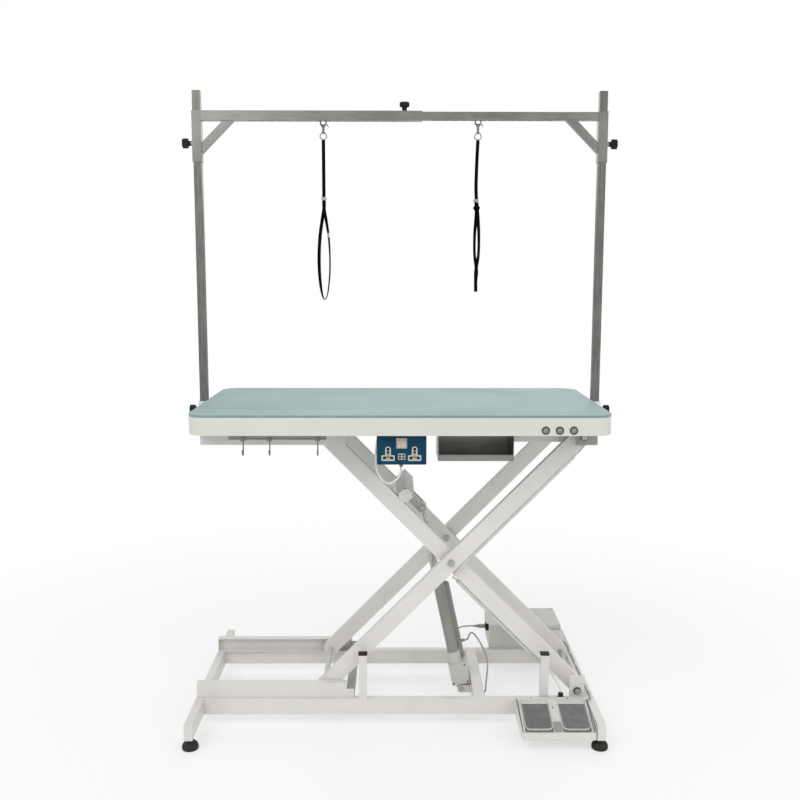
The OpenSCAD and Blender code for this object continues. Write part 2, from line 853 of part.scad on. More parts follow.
// Lead from the inner conduit down to the front rail, its points from the hinges
arm_lead_route = [[-111.2, -126.5, 179], [-107, -126.5, 174.7], [-102, -128, 170], [-94, -132, 164],
    [-86, -141, 159], [-78, -154, 153], [-70, -168, 144], [-62, -181, 131], [-55, -191, 117],
    [-51, -196, 104], [-51, -196, 96], [-51, -196, 88.1]];
module arm_lead() {
    color("#E4E4DE")
        swept(from_x(hinge_x, arm_lead_route), lead_d, lead_d, [0, 1, 0.3], 8);
}

// Actuator: z runs from the lower pin to the rod's eye
case_z = [18, 90];
case_gland = [10, 60];
motor_gland_z = 141;
gland_l = 9;
gland_r = 5;
collar_z = 128;
nut_z = 315;
nut_h = 30;
neck_l = 52;
screw_z = case_z[0] + 30;
module actuator_case() {
    color("#C9C9C3")
        on_actuator() {
            difference() {
                union() {
                    block([-25, 34], [-27, motor_dy + motor_d / 2 + 2], case_z);
                    block([-lug_r, lug_r], [-lug_gap, lug_gap], [0, case_z[0]]);
                    along_y(0, 0, -lug_gap, lug_gap, 2 * lug_r);
                    translate([0, 0, case_z[1]])
                        cylinder(d = act_tube_d + 7, h = collar_z - case_z[1]);
                    along_y(case_gland[0], case_gland[1], motor_dy + motor_d / 2,
                        motor_dy + motor_d / 2 + gland_l, gland_r * 2);
                }
                along_y(0, 0, -lug_gap - 1, lug_gap + 1, act_pin_d + 2 * run_gap);
                translate([0, 0, case_z[0] + 40])
                    cylinder(d = act_tube_bore, h = collar_z);
                translate([0, 0, screw_z])
                    cylinder(d = screw_d + 2 * run_gap, h = 20);
            }
        }
    color("#9C9D9C")
        on_actuator()
            difference() {
                translate([0, 0, collar_z])
                    cylinder(d = act_tube_d, h = act_tube_end - collar_z);
                translate([0, 0, collar_z - 1])
                    cylinder(d = act_tube_bore, h = act_tube_end - collar_z - 14);
                translate([0, 0, collar_z])
                    cylinder(d = rod_d + 2 * run_gap, h = act_tube_end);
            }
}

module actuator_motor() {
    color("#A9AAA8")
        on_actuator()
            translate([motor_dx, motor_dy, case_z[1]]) {
                cylinder(d = motor_d, h = motor_end - case_z[1]);
                translate([0, 0, motor_end - case_z[1]])
                    cylinder(d = motor_d - 8, h = 4);
                along_x(motor_d / 2 - 3, motor_d / 2 + 12, 0, motor_gland_z - case_z[1], 2 * gland_r);
            }
}

module actuator_rod() {
    color("#B9BABA")
        on_actuator() {
            difference() {
                union() {
                    translate([0, 0, nut_z])
                        cylinder(d = act_tube_bore - 3 * run_gap, h = nut_h);
                    translate([0, 0, nut_z])
                        cylinder(d = rod_d, h = act_len - nut_z - neck_l);
                    translate([0, 0, act_len - neck_l])
                        cylinder(d = neck_d, h = neck_l - 12);
                    along_y(0, act_len, -eye_half, eye_half, 2 * ear_r);
                }
                translate([0, 0, nut_z - 1])
                    cylinder(d = screw_d + 2 * run_gap, h = nut_h + 1);
                translate([0, 0, nut_z + nut_h])
                    cylinder(d = rod_bore, h = act_len - nut_z - nut_h - 30);
                along_y(0, act_len, -eye_half - 1, eye_half + 1, act_pin_d + 2 * run_gap);
            }
        }
    color("#8C8A86")
        on_actuator()
            along_y(0, act_len, -eye_half, eye_half, act_pin_d);
}

module lead_screw() {
    color("#8F8F8F")
        on_actuator()
            translate([0, 0, screw_z])
                cylinder(d = screw_d, h = act_tube_end - 20 - screw_z);
}

// Table
module table_top() {
    color("#A6BCBA")
        translate([0, 0, deck_z])
            rounded_plate(table_l, table_w, corner_r, top_t);
}

module button_places() {
    for (i = [-1:1])
        translate([button_x + i * button_pitch, -table_w / 2, apron_z + button_up])
            rotate([90, 0, 0])
                children();
}

button_hole_d = button_rim_d - 4;
bearer_in = [1042, 892, 502, 172, -43];
bearer_x = [for (d = bearer_in) hinge_x - d];
module table_frame() {
    color("#E2E1DD")
        difference() {
            translate([0, 0, apron_z])
                rounded_plate(table_l, table_w, corner_r, apron_h);
            translate([0, 0, bearer_z])
                rounded_plate(table_l - 2 * apron_t, table_w - 2 * apron_t, corner_r - apron_t, bearer_h);
            translate([0, 0, apron_z - 1])
                rounded_plate(table_l - 2 * lip_end_w, table_w - 2 * lip_w, corner_r - lip_w, apron_h + 2);
            button_places()
                translate([0, 0, -apron_t - 1])
                    cylinder(d = button_hole_d, h = apron_t + 2);
        }
    color("#D6D5D0")
        intersection() {
            // The bearers end in the thickness of the apron, at its round corners too
            translate([0, 0, bearer_z])
                rounded_plate(table_l - apron_t, table_w - apron_t, corner_r - apron_t / 2, bearer_h);
            for (x = bearer_x)
                difference() {
                    block([x - tube_w / 2, x + tube_w / 2], [-table_w / 2, table_w / 2],
                        [bearer_z, bearer_z + bearer_h]);
                    block([x - tube_w / 2 + tube_wall, x + tube_w / 2 - tube_wall],
                        [-table_w / 2 - 1, table_w / 2 + 1],
                        [bearer_z + tube_wall, bearer_z + bearer_h - tube_wall]);
                }
        }
}

runner_x = hinge_x - 211;
// Rail that carries the inner side of the table's hinge
module hinge_rail(z0) {
    y0 = -inner_arm_y;
    x1 = hinge_x + plate_half_w;
    difference() {
        union() {
            difference() {
                block([runner_x, x1], [y0, y0 + channel_w], [z0, bearer_z]);
                block([runner_x + channel_t, x1 + 1], [y0 + channel_t, y0 + channel_w + 1],
                    [z0 + upper_channel_t, bearer_z - upper_channel_t]);
            }
            along_y(hinge_x, high_z, y0 - arm_gap + pass_gap, y0 + channel_w / 2, shaft_d + 10);
        }
        along_y(hinge_x, high_z, y0 - arm_gap, y0 + channel_w, shaft_d + 2 * run_gap);
    }
}

module table_runners() {
    z0 = bearer_z - upper_channel_h;
    color("#D9D8D4")
        front_and_rear() {
            channel(upper_channel_x, channel_end_x, z0, upper_channel_h, upper_channel_t);
            hinge_rail(z0);
        }
    color("#55565A")
        front_and_rear()
            hinge_plate(bearer_x[4] + tube_w / 2 - 13, z0, bearer_z, high_z, outer_arm_y);
    color("#8C8A86")
        hinge_shaft(hinge_x, high_z);
}

module button_rims() {
    color("#B4B4B2")
        button_places()
            difference() {
                union() {
                    cylinder(d = button_rim_d, h = 2);
                    translate([0, 0, -22])
                        cylinder(d = button_hole_d - 0.2, h = 22);
                }
                translate([0, 0, -20])
                    cylinder(d = button_cap_d + 0.6, h = 23);
            }
}

module button(i) {
    color("#C4C4C2")
        translate([button_x + i * button_pitch, -table_w / 2, apron_z + button_up])
            rotate([90, 0, 0])
                translate([0, 0, -17])
                    cylinder(d = button_cap_d, h = 20);
}

module button_left() {
    button(-1);
}

module button_middle() {
    button(0);
}

module button_right() {
    button(1);
}

// Hook rail: a web with a foot that the hooks' sliders wrap
hook_y = -table_w / 2 + 22;
rail_foot_h = 3;
rail_foot_w = 10;
hook_rail_z = apron_z - hook_rail_h;
hook_rail_x0 = hook_rail_in - table_l / 2;
hook_rail_x1 = hook_rail_x0 + hook_rail_l;
hook_at = [43, 121, 262];
hook_x = [for (d = hook_at) hook_rail_x0 + d];
module hook_rail() {
    color("#8C8A86") {
        block([hook_rail_x0, hook_rail_x1], [hook_y - 1.5, hook_y + 1.5], [hook_rail_z, apron_z]);
        block([hook_rail_x0, hook_rail_x1], [hook_y - rail_foot_w / 2, hook_y + rail_foot_w / 2],
            [hook_rail_z, hook_rail_z + rail_foot_h]);
    }
}

slider_w = 14;
slider_wall = 2.5;
module hook(x) {
    g = slide_gap;
    out = rail_foot_w / 2 + g + slider_wall;
    low = hook_rail_z - g - slider_wall;
    color("#8C8A86")
        translate([x, hook_y, 0]) {
            difference() {
                block([-slider_w / 2, slider_w / 2], [-out, out],
                    [low, hook_rail_z + rail_foot_h + g + slider_wall]);
                block([-slider_w, slider_w], [-rail_foot_w / 2 - g, rail_foot_w / 2 + g],
                    [hook_rail_z - g, hook_rail_z + rail_foot_h + g]);
                block([-slider_w, slider_w], [-1.5 - g, 1.5 + g], [hook_rail_z, hook_rail_z + 20]);
            }
            translate([0, 0, low - hook_stem])
                cylinder(d = hook_wire, h = hook_stem);
            translate([0, -hook_bend, low - hook_stem])
                rotate([0, 90, 0])
                    rotate([0, 0, -90])
                        rotate_extrude(angle = 180)
                            translate([hook_bend, 0])
                                circle(d = hook_wire, $fn = 24);
            translate([0, -2 * hook_bend, low - hook_stem])
                cylinder(d = hook_wire, h = 8);
        }
}

module hook_left() {
    hook(hook_x[0]);
}

module hook_middle() {
    hook(hook_x[1]);
}

module hook_right() {
    hook(hook_x[2]);
}

// Socket outlet
socket_y = -table_w / 2 + socket_back;
socket_z1 = apron_z - 4;
socket_z0 = socket_z1 - socket_h;
face_t = 8;
rocker_w = 14;
rocker_h = 27;
rocker_z = socket_z1 - 22;
rocker_in = 3.4;
rocker_pin_d = 3;
gland_d = 14;
gland_h = 14;
module socket_box() {
    color("#0F4F70") {
        difference() {
            translate([socket_x, socket_y + face_t, (socket_z0 + socket_z1) / 2])
                rotate([90, 0, 0])
                    rounded_plate(socket_w, socket_h, 4, face_t);
            block([socket_x - rocker_w - 1, socket_x + rocker_w + 1], [socket_y - 1, socket_y + face_t],
                [rocker_z - rocker_h / 2 - 1, rocker_z + rocker_h / 2 + 1]);
        }
        along_x(socket_x - rocker_w - 2, socket_x + rocker_w + 2, socket_y + rocker_in, rocker_z,
            rocker_pin_d);
    }
    color("#0B3E59")
        block([socket_x - socket_w / 2 + 4, socket_x + socket_w / 2 - 4],
            [socket_y + face_t, socket_y + socket_d], [socket_z0 + 4, socket_z1 - 4]);
    color("#3A3A3C") {
        block([socket_x - 75, socket_x + 70], [socket_y - 16, socket_y + socket_d + 20],
            [apron_z - 2, apron_z]);
        for (x = [socket_x - 50, socket_x + 40])
            block([x, x + 10], [socket_y + face_t, socket_y + socket_d], [socket_z1 - 4, apron_z - 2]);
    }
    color("#9A9A94")
        translate([socket_x - 1.5, socket_y + 20, socket_z0 + 4 - gland_h])
            cylinder(d1 = gland_d * 0.7, d2 = gland_d, h = gland_h);
}

module rocker(x) {
    color("#E8D9D6")
        translate([x, socket_y + rocker_in, rocker_z])
            rotate([90, 0, 90])
                linear_extrude(rocker_w - 0.6, center = true)
                    difference() {
                        polygon([[-4, -rocker_h / 2], [2.4, -rocker_h / 2], [2.8, 0], [2.4, rocker_h / 2],
                            [-2.2, rocker_h / 2], [-2.9, 0]]);
                        circle(d = rocker_pin_d + 2 * run_gap);
                    }
}

module rocker_left() {
    rocker(socket_x - rocker_w / 2);
}

module rocker_right() {
    rocker(socket_x + rocker_w / 2);
}

socket_cord_route = [[3, -282, 851.9], [3, -282, 845], [1, -282, 834], [-4, -282, 822],
    [-13, -281, 811], [-24, -279, 803], [-34, -276, 800], [-46, -272, 804], [-57, -266, 814],
    [-66, -259, 828], [-71, -253, 844], [-73, -249, 866], [-72, -247, 895], [-69, -247, 922],
    [-66, -247, 942], [-66, -247, 949.9]];
module socket_cord() {
    color("#E8E8E0")
        swept(socket_cord_route, cord_d, cord_d, [0, 1, 0], 8);
}

module tool_tray() {
    y0 = -table_w / 2 + 7;
    z0 = apron_z - tray_h;
    x1 = tray_x0 + tray_l;
    color("#8C8A86") {
        block([tray_x0, x1], [y0, y0 + tray_d], [z0, z0 + tray_t]);
        block([tray_x0, x1], [y0, y0 + tray_t], [z0, z0 + tray_lip]);
        block([tray_x0, x1], [y0 + tray_d - tray_t, y0 + tray_d], [z0, bearer_z]);
        for (x = [tray_x0, x1 - tray_t])
            block([x, x + tray_t], [y0, y0 + tray_d], [z0, apron_z]);
    }
}

// Mast sockets and masts
socket_s = mast_s + 2 * slide_gap + 2 * socket_wall;
module mast_sockets() {
    color("#E2E1DD")
        for (side = [-1, 1])
            translate([side * mast_x, mast_y, 0])
                difference() {
                    union() {
                        block([-socket_s / 2, socket_s / 2], [-socket_s / 2, socket_s / 2],
                            [apron_z, deck_z]);
                        along_x(side > 0 ? socket_s / 2 : -socket_s / 2 - 5,
                            side > 0 ? socket_s / 2 + 5 : -socket_s / 2, 0, low_knob_z, 16);
                    }
                    block([-mast_s / 2 - slide_gap, mast_s / 2 + slide_gap],
                        [-mast_s / 2 - slide_gap, mast_s / 2 + slide_gap], [apron_z - 1, deck_z + 1]);
                    along_x(side > 0 ? 0 : -socket_s, side > 0 ? socket_s : 0, 0, low_knob_z,
                        screw_clamp_d + 2 * run_gap);
                }
}

module masts() {
    plug = mast_s - 2 * mast_wall;
    for (side = [-1, 1])
        translate([side * mast_x, mast_y, 0]) {
            color("#8C8A86")
                upright(mast_s, mast_wall, mast_z0, mast_z1);
            color("#1E1E1E") {
                block([-mast_s / 2, mast_s / 2], [-mast_s / 2, mast_s / 2], [mast_z1, mast_z1 + mast_cap_t]);
                block([-plug / 2, plug / 2], [-plug / 2, plug / 2], [mast_z1 - 14, mast_z1]);
            }
        }
}

// Cross bar in two telescoping halves, each with its sleeve and brace
module sleeve(side) {
    translate([side * mast_x, mast_y, 0])
        difference() {
            union() {
                block([-bar_s / 2, bar_s / 2], [-bar_s / 2, bar_s / 2], [sleeve_z0, sleeve_z1]);
                along_x(side > 0 ? bar_s / 2 : -bar_s / 2 - 6, side > 0 ? bar_s / 2 + 6 : -bar_s / 2, 0,
                    sleeve_knob_z, 16);
            }
            block([sleeve_wall - bar_s / 2, bar_s / 2 - sleeve_wall],
                [sleeve_wall - bar_s / 2, bar_s / 2 - sleeve_wall], [sleeve_z0 - 1, sleeve_z1 + 1]);
            along_x(side > 0 ? 0 : -bar_s, side > 0 ? bar_s : 0, 0, sleeve_knob_z,
                screw_clamp_d + 2 * run_gap);
        }
}

module brace(side, under) {
    x = side * sleeve_in_x;
    half = brace_s / 2;
    intersection() {
        translate([x, mast_y, under - brace_leg])
            rotate([0, side > 0 ? -45 : 45, 0])
                difference() {
                    block([-half, half], [-half, half], [-2 * mast_s, brace_leg * 2]);
                    block([mast_wall - half, half - mast_wall], [mast_wall - half, half - mast_wall],
                        [-3 * mast_s, brace_leg * 3]);
                }
        block(side > 0 ? [0, x] : [x, 0], [mast_y - half - 1, mast_y + half + 1], [sleeve_z0, under]);
    }
}

module bar_slots(x0, x1, start, z) {
    for (k = [-30:30]) {
        x = start + slot_pitch * (k + 0.5);
        if (x > x0 + slot_pitch && x < x1 - slot_pitch)
            translate([x, mast_y, z])
                cube([slot_pitch - slot_bridge, slot_w, 12], center = true);
    }
}

module outer_bar() {
    color("#8F8D89") {
        sleeve(-1);
        difference() {
            block([-sleeve_in_x, outer_bar_x], [mast_y - bar_s / 2, mast_y + bar_s / 2], [bar_z, sleeve_z1]);
            block([-sleeve_in_x - 1, outer_bar_x + 1],
                [mast_y - bar_s / 2 + sleeve_wall, mast_y + bar_s / 2 - sleeve_wall],
                [bar_z + sleeve_wall, sleeve_z1 - sleeve_wall]);
            bar_slots(-sleeve_in_x + brace_leg + 20, outer_bar_x, loop_left_x, bar_z);
            translate([bar_knob_x, mast_y, sleeve_z1 - 5])
                cylinder(d = screw_clamp_d + 2 * run_gap, h = 10);
        }
        brace(-1, bar_z);
    }
}

inner_bar_z = bar_z + sleeve_wall + slide_gap;
module inner_bar() {
    color("#8F8D89") {
        sleeve(1);
        difference() {
            block([outer_bar_x - bar_overlap, sleeve_in_x], [mast_y - mast_s / 2, mast_y + mast_s / 2],
                [inner_bar_z, inner_bar_z + mast_s]);
            block([outer_bar_x - bar_overlap - 1, sleeve_in_x + 1],
                [mast_y - mast_s / 2 + sleeve_wall, mast_y + mast_s / 2 - sleeve_wall],
                [inner_bar_z + sleeve_wall, inner_bar_z + mast_s - sleeve_wall]);
            bar_slots(outer_bar_x, sleeve_in_x - brace_leg - 20, loop_right_x, inner_bar_z);
        }
        brace(1, inner_bar_z);
    }
}

// Star knob along +Z: grip, neck and clamp screw, the screw's tip at z = 0
module star_knob(neck, screw, d, t) {
    translate([0, 0, screw + neck]) {
        linear_extrude(t)
            union() {
                circle(d = d * 0.78);
                for (a = [0:60:300])
                    rotate(a)
                        translate([d * 0.36, 0])
                            circle(d = d * 0.28);
            }
    }
    translate([0, 0, screw])
        cylinder(d = d * 0.5, h = neck);
    cylinder(d = screw_clamp_d, h = screw);
}

module side_knob(side, z, boss_x) {
    tip = mast_x + mast_s / 2 + pass_gap / 2;
    color("#1E1E1E")
        translate([side * tip, mast_y, z])
            rotate([0, side * 90, 0])
                star_knob(knob_x - knob_t - boss_x, boss_x - tip, knob_d, knob_t);
}

module clamp_knob_left() {
    side_knob(-1, low_knob_z, mast_x + socket_s / 2 + 5 + pass_gap);
}

module clamp_knob_right() {
    side_knob(1, low_knob_z, mast_x + socket_s / 2 + 5 + pass_gap);
}

module sleeve_knob_left() {
    side_knob(-1, sleeve_knob_z, mast_x + bar_s / 2 + 6 + pass_gap);
}

module sleeve_knob_right() {
    side_knob(1, sleeve_knob_z, mast_x + bar_s / 2 + 6 + pass_gap);
}

module bar_knob() {
    tip = inner_bar_z + mast_s + pass_gap / 2;
    color("#1E1E1E")
        translate([bar_knob_x, mast_y, tip])
            star_knob(13, sleeve_z1 + pass_gap - tip, knob_d, 15);
}

// Restraint loops: bow through two slots, swivel, ring and webbing
module torus(x, z, r, wire) {
    translate([x, mast_y, z])
        rotate([90, 0, 0])
            rotate_extrude()
                translate([r, 0])
                    circle(d = wire, $fn = 24);
}

function hung(x, route) = [for (p = route) [x + p[0], mast_y + p[1], p[2]]];
left_route = [[0, -2, 1838.7], [0, -2, 1760], [0, -2, 1690], [0, -2, 1630], [6, -1.6, 1592], [13, -0.8, 1545],
    [17, 0, 1490], [17, 0, 1430], [13, 0, 1380], [7, 0, 1347], [0, 0, 1337], [-7, 0, 1347], [-13, 0, 1380],
    [-17, 0, 1430], [-17, 0, 1490], [-13, 0.8, 1545], [-6, 1.6, 1592], [0, 2, 1630], [0, 2, 1656]];
right_route = [[0, -2.2, 1838.7], [-3, -2.2, 1760], [-4, -2.2, 1680], [2, -2.2, 1610], [5, -2.2, 1540],
    [4, -2.2, 1480], [-2, -2.2, 1430], [-8, -1.4, 1396], [-8, -0.6, 1378], [0, 0, 1367], [8, 0.6, 1378],
    [8, 1.4, 1396], [2, 2.2, 1430], [-4, 2.2, 1480], [-5, 2.2, 1540], [-2, 2.2, 1610], [-4, 2.2, 1656]];

module restraint(x, bow_z, route) {
    ring_z = 1851;
    color("#A8A8A4") {
        torus(x, bow_z, bow_r, bow_wire);
        translate([x, mast_y, ring_z + ring_r - 0.5])
            cylinder(d = 8, h = bow_z - bow_r - ring_z - ring_r + 1);
        torus(x, ring_z, ring_r, ring_wire);
    }
    color("#1A1A1A")
        swept(hung(x, route), strap_w, strap_t, [0, 1, 0], 8);
}

module loop_left() {
    restraint(loop_left_x, bar_z + sleeve_wall - 5.9, left_route);
}

module loop_right() {
    restraint(loop_right_x, inner_bar_z + sleeve_wall - 5.9, right_route);
}

// Leads at the base, their points from the base's right end and from the hinges
pedal_cable_route = [[-37.9, 240, 104], [-30, 240, 104], [-22, 236, 98], [-15, 226, 94],
    [-12, 210, 93], [-12, 194, 93], [-12, 176, 91.5], [-12, 120, 91], [-12, 60, 91], [-12, 0, 91],
    [-12, -60, 91], [-12, -120, 91], [-12, -176, 91], [-13, -196, 92.5], [-16, -212, 94],
    [-22, -222, 94.5], [-26, -226, 94.5], [-32.9, -226, 94.5]];
module pedal_cable() {
    color("#C8C8C4")
        swept(from_x(base_x1, pedal_cable_route), lead_d, lead_d, [0, 0, 1], 8);
}

plug_x = box_x - 9;
plug_lead_route = [[-294, 235, 158], [-306, 235, 158], [-322, 233, 158], [-338, 228, 157],
    [-352, 218, 154], [-361, 202, 147], [-365, 186, 136], [-366, 170, 124], [-366, 154, 113],
    [-366, 136, 107], [-365, 112, 104], [-364, 84, 104], [-362, 60, 108], [-360, 44, 110.8],
    [-360, 34.1, 110.8]];
arc_lead_route = [[-341.4, 7, 197.5], [-334, 7, 199.5], [-330, 5, 208], [-327, 1, 219],
    [-321, -7, 228], [-311, -18, 226], [-298, -32, 211], [-287, -46, 194], [-276, -66, 172],
    [-273, -82, 150], [-275, -93, 128], [-278, -100, 106], [-280, -104, 88], [-280.5, -106.5, 75],
    [-284, -107, 66], [-286, -107, 64], [-289.9, -107, 64]];
module motor_leads() {
    color("#9A9A94") {
        along_x(plug_x - 26, plug_x, socket_hole_y, socket_hole_z, plug_d);
        translate([plug_x - 26, socket_hole_y, socket_hole_z])
            rotate([0, -90, 0])
                cylinder(d1 = plug_d * 0.8, d2 = lead_d + 1, h = 19);
        swept(from_x(hinge_x, plug_lead_route), lead_d, lead_d, [0, 0, 1], 8);
        swept(from_x(hinge_x, arc_lead_route), lead_d, lead_d, [0, 1, 0], 8);
    }
}

base_cross_tubes();
base_rails();
actuator_cross_tube();
base_runners();
control_box();
control_box_cover();
control_board();
pedal_tray();
pedal_case();
pedal_left();
pedal_right();
foot(foot_x[0], -foot_y);  // foot_front_left
foot(foot_x[1], -foot_y);  // foot_front_right
foot(foot_x[0], foot_y);  // foot_rear_left
foot(foot_x[1], foot_y);  // foot_rear_right
pedal_cable();
motor_leads();
inner_arm_front();
inner_arm_rear();
inner_cross_tube();
inner_conduit();
arm_lead();
outer_arm_front();
outer_arm_rear();
outer_conduit();
pivot_bolts();
pivot_cable();
lower_rollers();
upper_rollers();
actuator_case();
actuator_motor();
actuator_rod();
lead_screw();
table_top();
table_frame();
table_runners();
button_rims();
button_left();
button_middle();
button_right();
hook_rail();
hook_left();
hook_middle();
hook_right();
socket_box();
rocker_left();
rocker_right();
socket_cord();
tool_tray();
mast_sockets();
masts();
outer_bar();
inner_bar();
clamp_knob_left();
clamp_knob_right();
sleeve_knob_left();
sleeve_knob_right();
bar_knob();
loop_left();
loop_right();
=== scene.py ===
import math

import bmesh
import bpy
from mathutils import Matrix, Vector


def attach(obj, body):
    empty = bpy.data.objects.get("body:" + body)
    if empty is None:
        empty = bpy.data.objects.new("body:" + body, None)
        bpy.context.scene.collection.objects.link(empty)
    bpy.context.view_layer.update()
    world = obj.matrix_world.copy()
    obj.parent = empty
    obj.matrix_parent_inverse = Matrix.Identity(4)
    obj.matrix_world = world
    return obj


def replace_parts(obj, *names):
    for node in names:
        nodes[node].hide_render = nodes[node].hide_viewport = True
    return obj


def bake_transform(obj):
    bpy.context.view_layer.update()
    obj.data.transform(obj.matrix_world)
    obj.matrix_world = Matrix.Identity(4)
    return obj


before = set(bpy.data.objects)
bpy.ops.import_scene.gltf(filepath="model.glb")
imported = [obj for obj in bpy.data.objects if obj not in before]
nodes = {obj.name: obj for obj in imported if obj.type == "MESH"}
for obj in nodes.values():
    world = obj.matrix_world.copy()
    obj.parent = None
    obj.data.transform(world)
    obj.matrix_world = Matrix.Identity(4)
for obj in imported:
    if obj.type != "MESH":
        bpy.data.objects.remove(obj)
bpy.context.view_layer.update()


def at(x, y, z, rx=0, ry=0, rz=0):
    """A place in millimetres and degrees: turned about X, then Y, then Z, and moved."""
    turn = (Matrix.Rotation(math.radians(rz), 4, "Z") @ Matrix.Rotation(math.radians(ry), 4, "Y")
            @ Matrix.Rotation(math.radians(rx), 4, "X"))
    return Matrix.Translation((x / 1000, y / 1000, z / 1000)) @ turn


# Places shared with the part's source, in millimetres and degrees
LOW_PIVOT = 112
HIGH_PIVOT = 927.5
HINGE_X = 562
ROLLER_X = -240.307
ARM = 1144
LIFT = 45.4672
MAST_X = 641.8
MAST_Y = 45
RAIL_TOP = 88
POST_TOP = 232.4
OUTER_ARMS = at(ROLLER_X, 0, LOW_PIVOT, ry=-LIFT)
MIDDLE = OUTER_ARMS @ at(ARM / 2, 0, 0)
INNER_ARMS = at(HINGE_X, 0, LOW_PIVOT, ry=LIFT - 180)
CLEVIS = at(205, -30, 50)
ACTUATOR = CLEVIS @ at(0, 0, 0, ry=-12.14607)
ENDS = (("front", -1), ("rear", 1))
SIDES = (("left", -1), ("right", 1))


# Camera: a standing photographer's view of the whole table, straight on and a little from above
FOCAL_PIXELS = 944.2
PHOTO_PIXELS = 800
SENSOR = 36
lens = bpy.data.cameras.new("camera")
lens.sensor_width = SENSOR
lens.lens = FOCAL_PIXELS / PHOTO_PIXELS * SENSOR
camera = bpy.data.objects.new("camera", lens)
camera.matrix_world = at(-14.05, -3035, 1426, rx=82.26, rz=-0.28) @ at(0, 0, 0, rz=0.08)
bpy.context.collection.objects.link(camera)
bpy.context.scene.camera = camera


# Materials
def linear(code):
    """An sRGB hex colour as linear red, green, blue and alpha."""
    parts = [int(code[i:i + 2], 16) / 255 for i in (1, 3, 5)]
    return [c / 12.92 if c <= 0.04045 else ((c + 0.055) / 1.055) ** 2.4 for c in parts] + [1.0]


def put(tree, kind, inputs=None, **settings):
    """Adds a shader node with its settings, its inputs given as values or as other nodes' sockets."""
    node = tree.nodes.new("ShaderNode" + kind)
    for key, value in settings.items():
        setattr(node, key, value)
    for key, value in (inputs or {}).items():
        if isinstance(value, bpy.types.NodeSocket):
            tree.links.new(value, node.inputs[key])
        else:
            node.inputs[key].default_value = value
    return node


def surface(name, colour, roughness, **sockets):
    """A named material with its shader's own even values set."""
    material = bpy.data.materials.new(name)
    material.use_nodes = True
    shader = material.node_tree.nodes["Principled BSDF"]
    shader.inputs["Base Color"].default_value = linear(colour)
    shader.inputs["Roughness"].default_value = roughness
    for key, value in sockets.items():
        shader.inputs[key.replace("_", " ")].default_value = value
    return material, material.node_tree, shader


def own_place(tree):
    """The place in a piece's own coordinates, in metres."""
    return put(tree, "TexCoord").outputs["Object"]


def noise(tree, where, scale, detail, roughness=0.5):
    """A noise with about as many waves to the metre as its scale."""
    inputs = {"Vector": where, "Scale": scale, "Detail": detail, "Roughness": roughness}
    return put(tree, "TexNoise", inputs).outputs[0]


def bands(tree, where, scale, distortion, direction, detail=2.0):
    """Even ribs or threads across one direction."""
    inputs = {"Vector": where, "Scale": scale, "Distortion": distortion, "Detail": detail}
    return put(tree, "TexWave", inputs, wave_type="BANDS", bands_direction=direction).outputs[1]


def embossed(tree, shader, height, strength, depth=0.0003):
    """A fine relief, its depth in metres."""
    bump = put(tree, "Bump", {"Height": height, "Strength": strength, "Distance": depth})
    tree.links.new(bump.outputs[0], shader.inputs["Normal"])


def uneven(tree, shader, fac, light, dark, low, high, roughness, spread=0.06):
    """Colour and roughness that follow a pattern between two tones."""
    span = {"Value": fac, "From Min": low, "From Max": high}
    tone = put(tree, "MapRange", span)
    mixed = put(tree, "Mix", {"Factor": tone.outputs[0]}, data_type="RGBA")
    mixed.inputs[6].default_value = linear(light)
    mixed.inputs[7].default_value = linear(dark)
    tree.links.new(mixed.outputs[2], shader.inputs["Base Color"])
    shine = put(tree, "MapRange", {**span, "To Min": roughness - spread, "To Max": roughness + spread})
    tree.links.new(shine.outputs[0], shader.inputs["Roughness"])


def powder_coat(name, light, dark, roughness):
    """Polyester powder coat on steel: a fine orange peel, and a colour that is slightly uneven."""
    material, tree, shader = surface(name, light, roughness, IOR=1.5)
    where = own_place(tree)
    # Orange peel of about 2 mm from crest to crest
    embossed(tree, shader, noise(tree, where, 480, 2), 0.12, 0.0004)
    # Clouds of about 150 mm where the coat is thinner or has been wiped
    uneven(tree, shader, noise(tree, where, 6.5, 5, 0.6), light, dark, 0.38, 0.80, roughness)
    return material


def brushed(name, light, dark, roughness, along):
    """Stainless steel tube polished with a belt along its length: fine streaks that run along one axis."""
    material, tree, shader = surface(name, light, roughness, Metallic=1)
    where = own_place(tree)
    # Streaks about 1 mm apart and 60 mm long, coarser than the real belt's so that they show
    stretch = [1000, 1000, 1000]
    stretch["XYZ".index(along)] = 16.0
    laid = put(tree, "Mapping", {"Vector": where, "Scale": stretch})
    streak = noise(tree, laid.outputs[0], 1, 3)
    embossed(tree, shader, streak, 0.12)
    # Finger marks and cloudy reflections of some 90 mm, with the streaks through them
    cloud = noise(tree, where, 11, 3)
    both = put(tree, "Mix", {0: 0.3, 2: streak, 3: cloud}, data_type="FLOAT")
    uneven(tree, shader, both.outputs[0], dark, light, 0.34, 0.64, roughness, 0.05)
    return material


def turned_metal(name, light, dark, roughness):
    """Zinc-plated or chromed steel, turned or bent from wire: bright, with faint handling marks."""
    material, tree, shader = surface(name, light, roughness, Metallic=1)
    # Marks of 4 to 8 mm
    marks = noise(tree, own_place(tree), 180, 4)
    uneven(tree, shader, marks, light, dark, 0.40, 0.75, roughness)
    return material


def moulded(name, light, dark, roughness, grain, depth, **sockets):
    """Moulded or extruded plastic with a spark-eroded grain, grain being its pitch in millimetres."""
    material, tree, shader = surface(name, light, roughness, IOR=1.5, **sockets)
    where = own_place(tree)
    embossed(tree, shader, noise(tree, where, 1000 / grain, 2), depth)
    # Handling shine and dust in patches of about 25 mm
    uneven(tree, shader, noise(tree, where, 38, 4), light, dark, 0.40, 0.80, roughness)
    return material


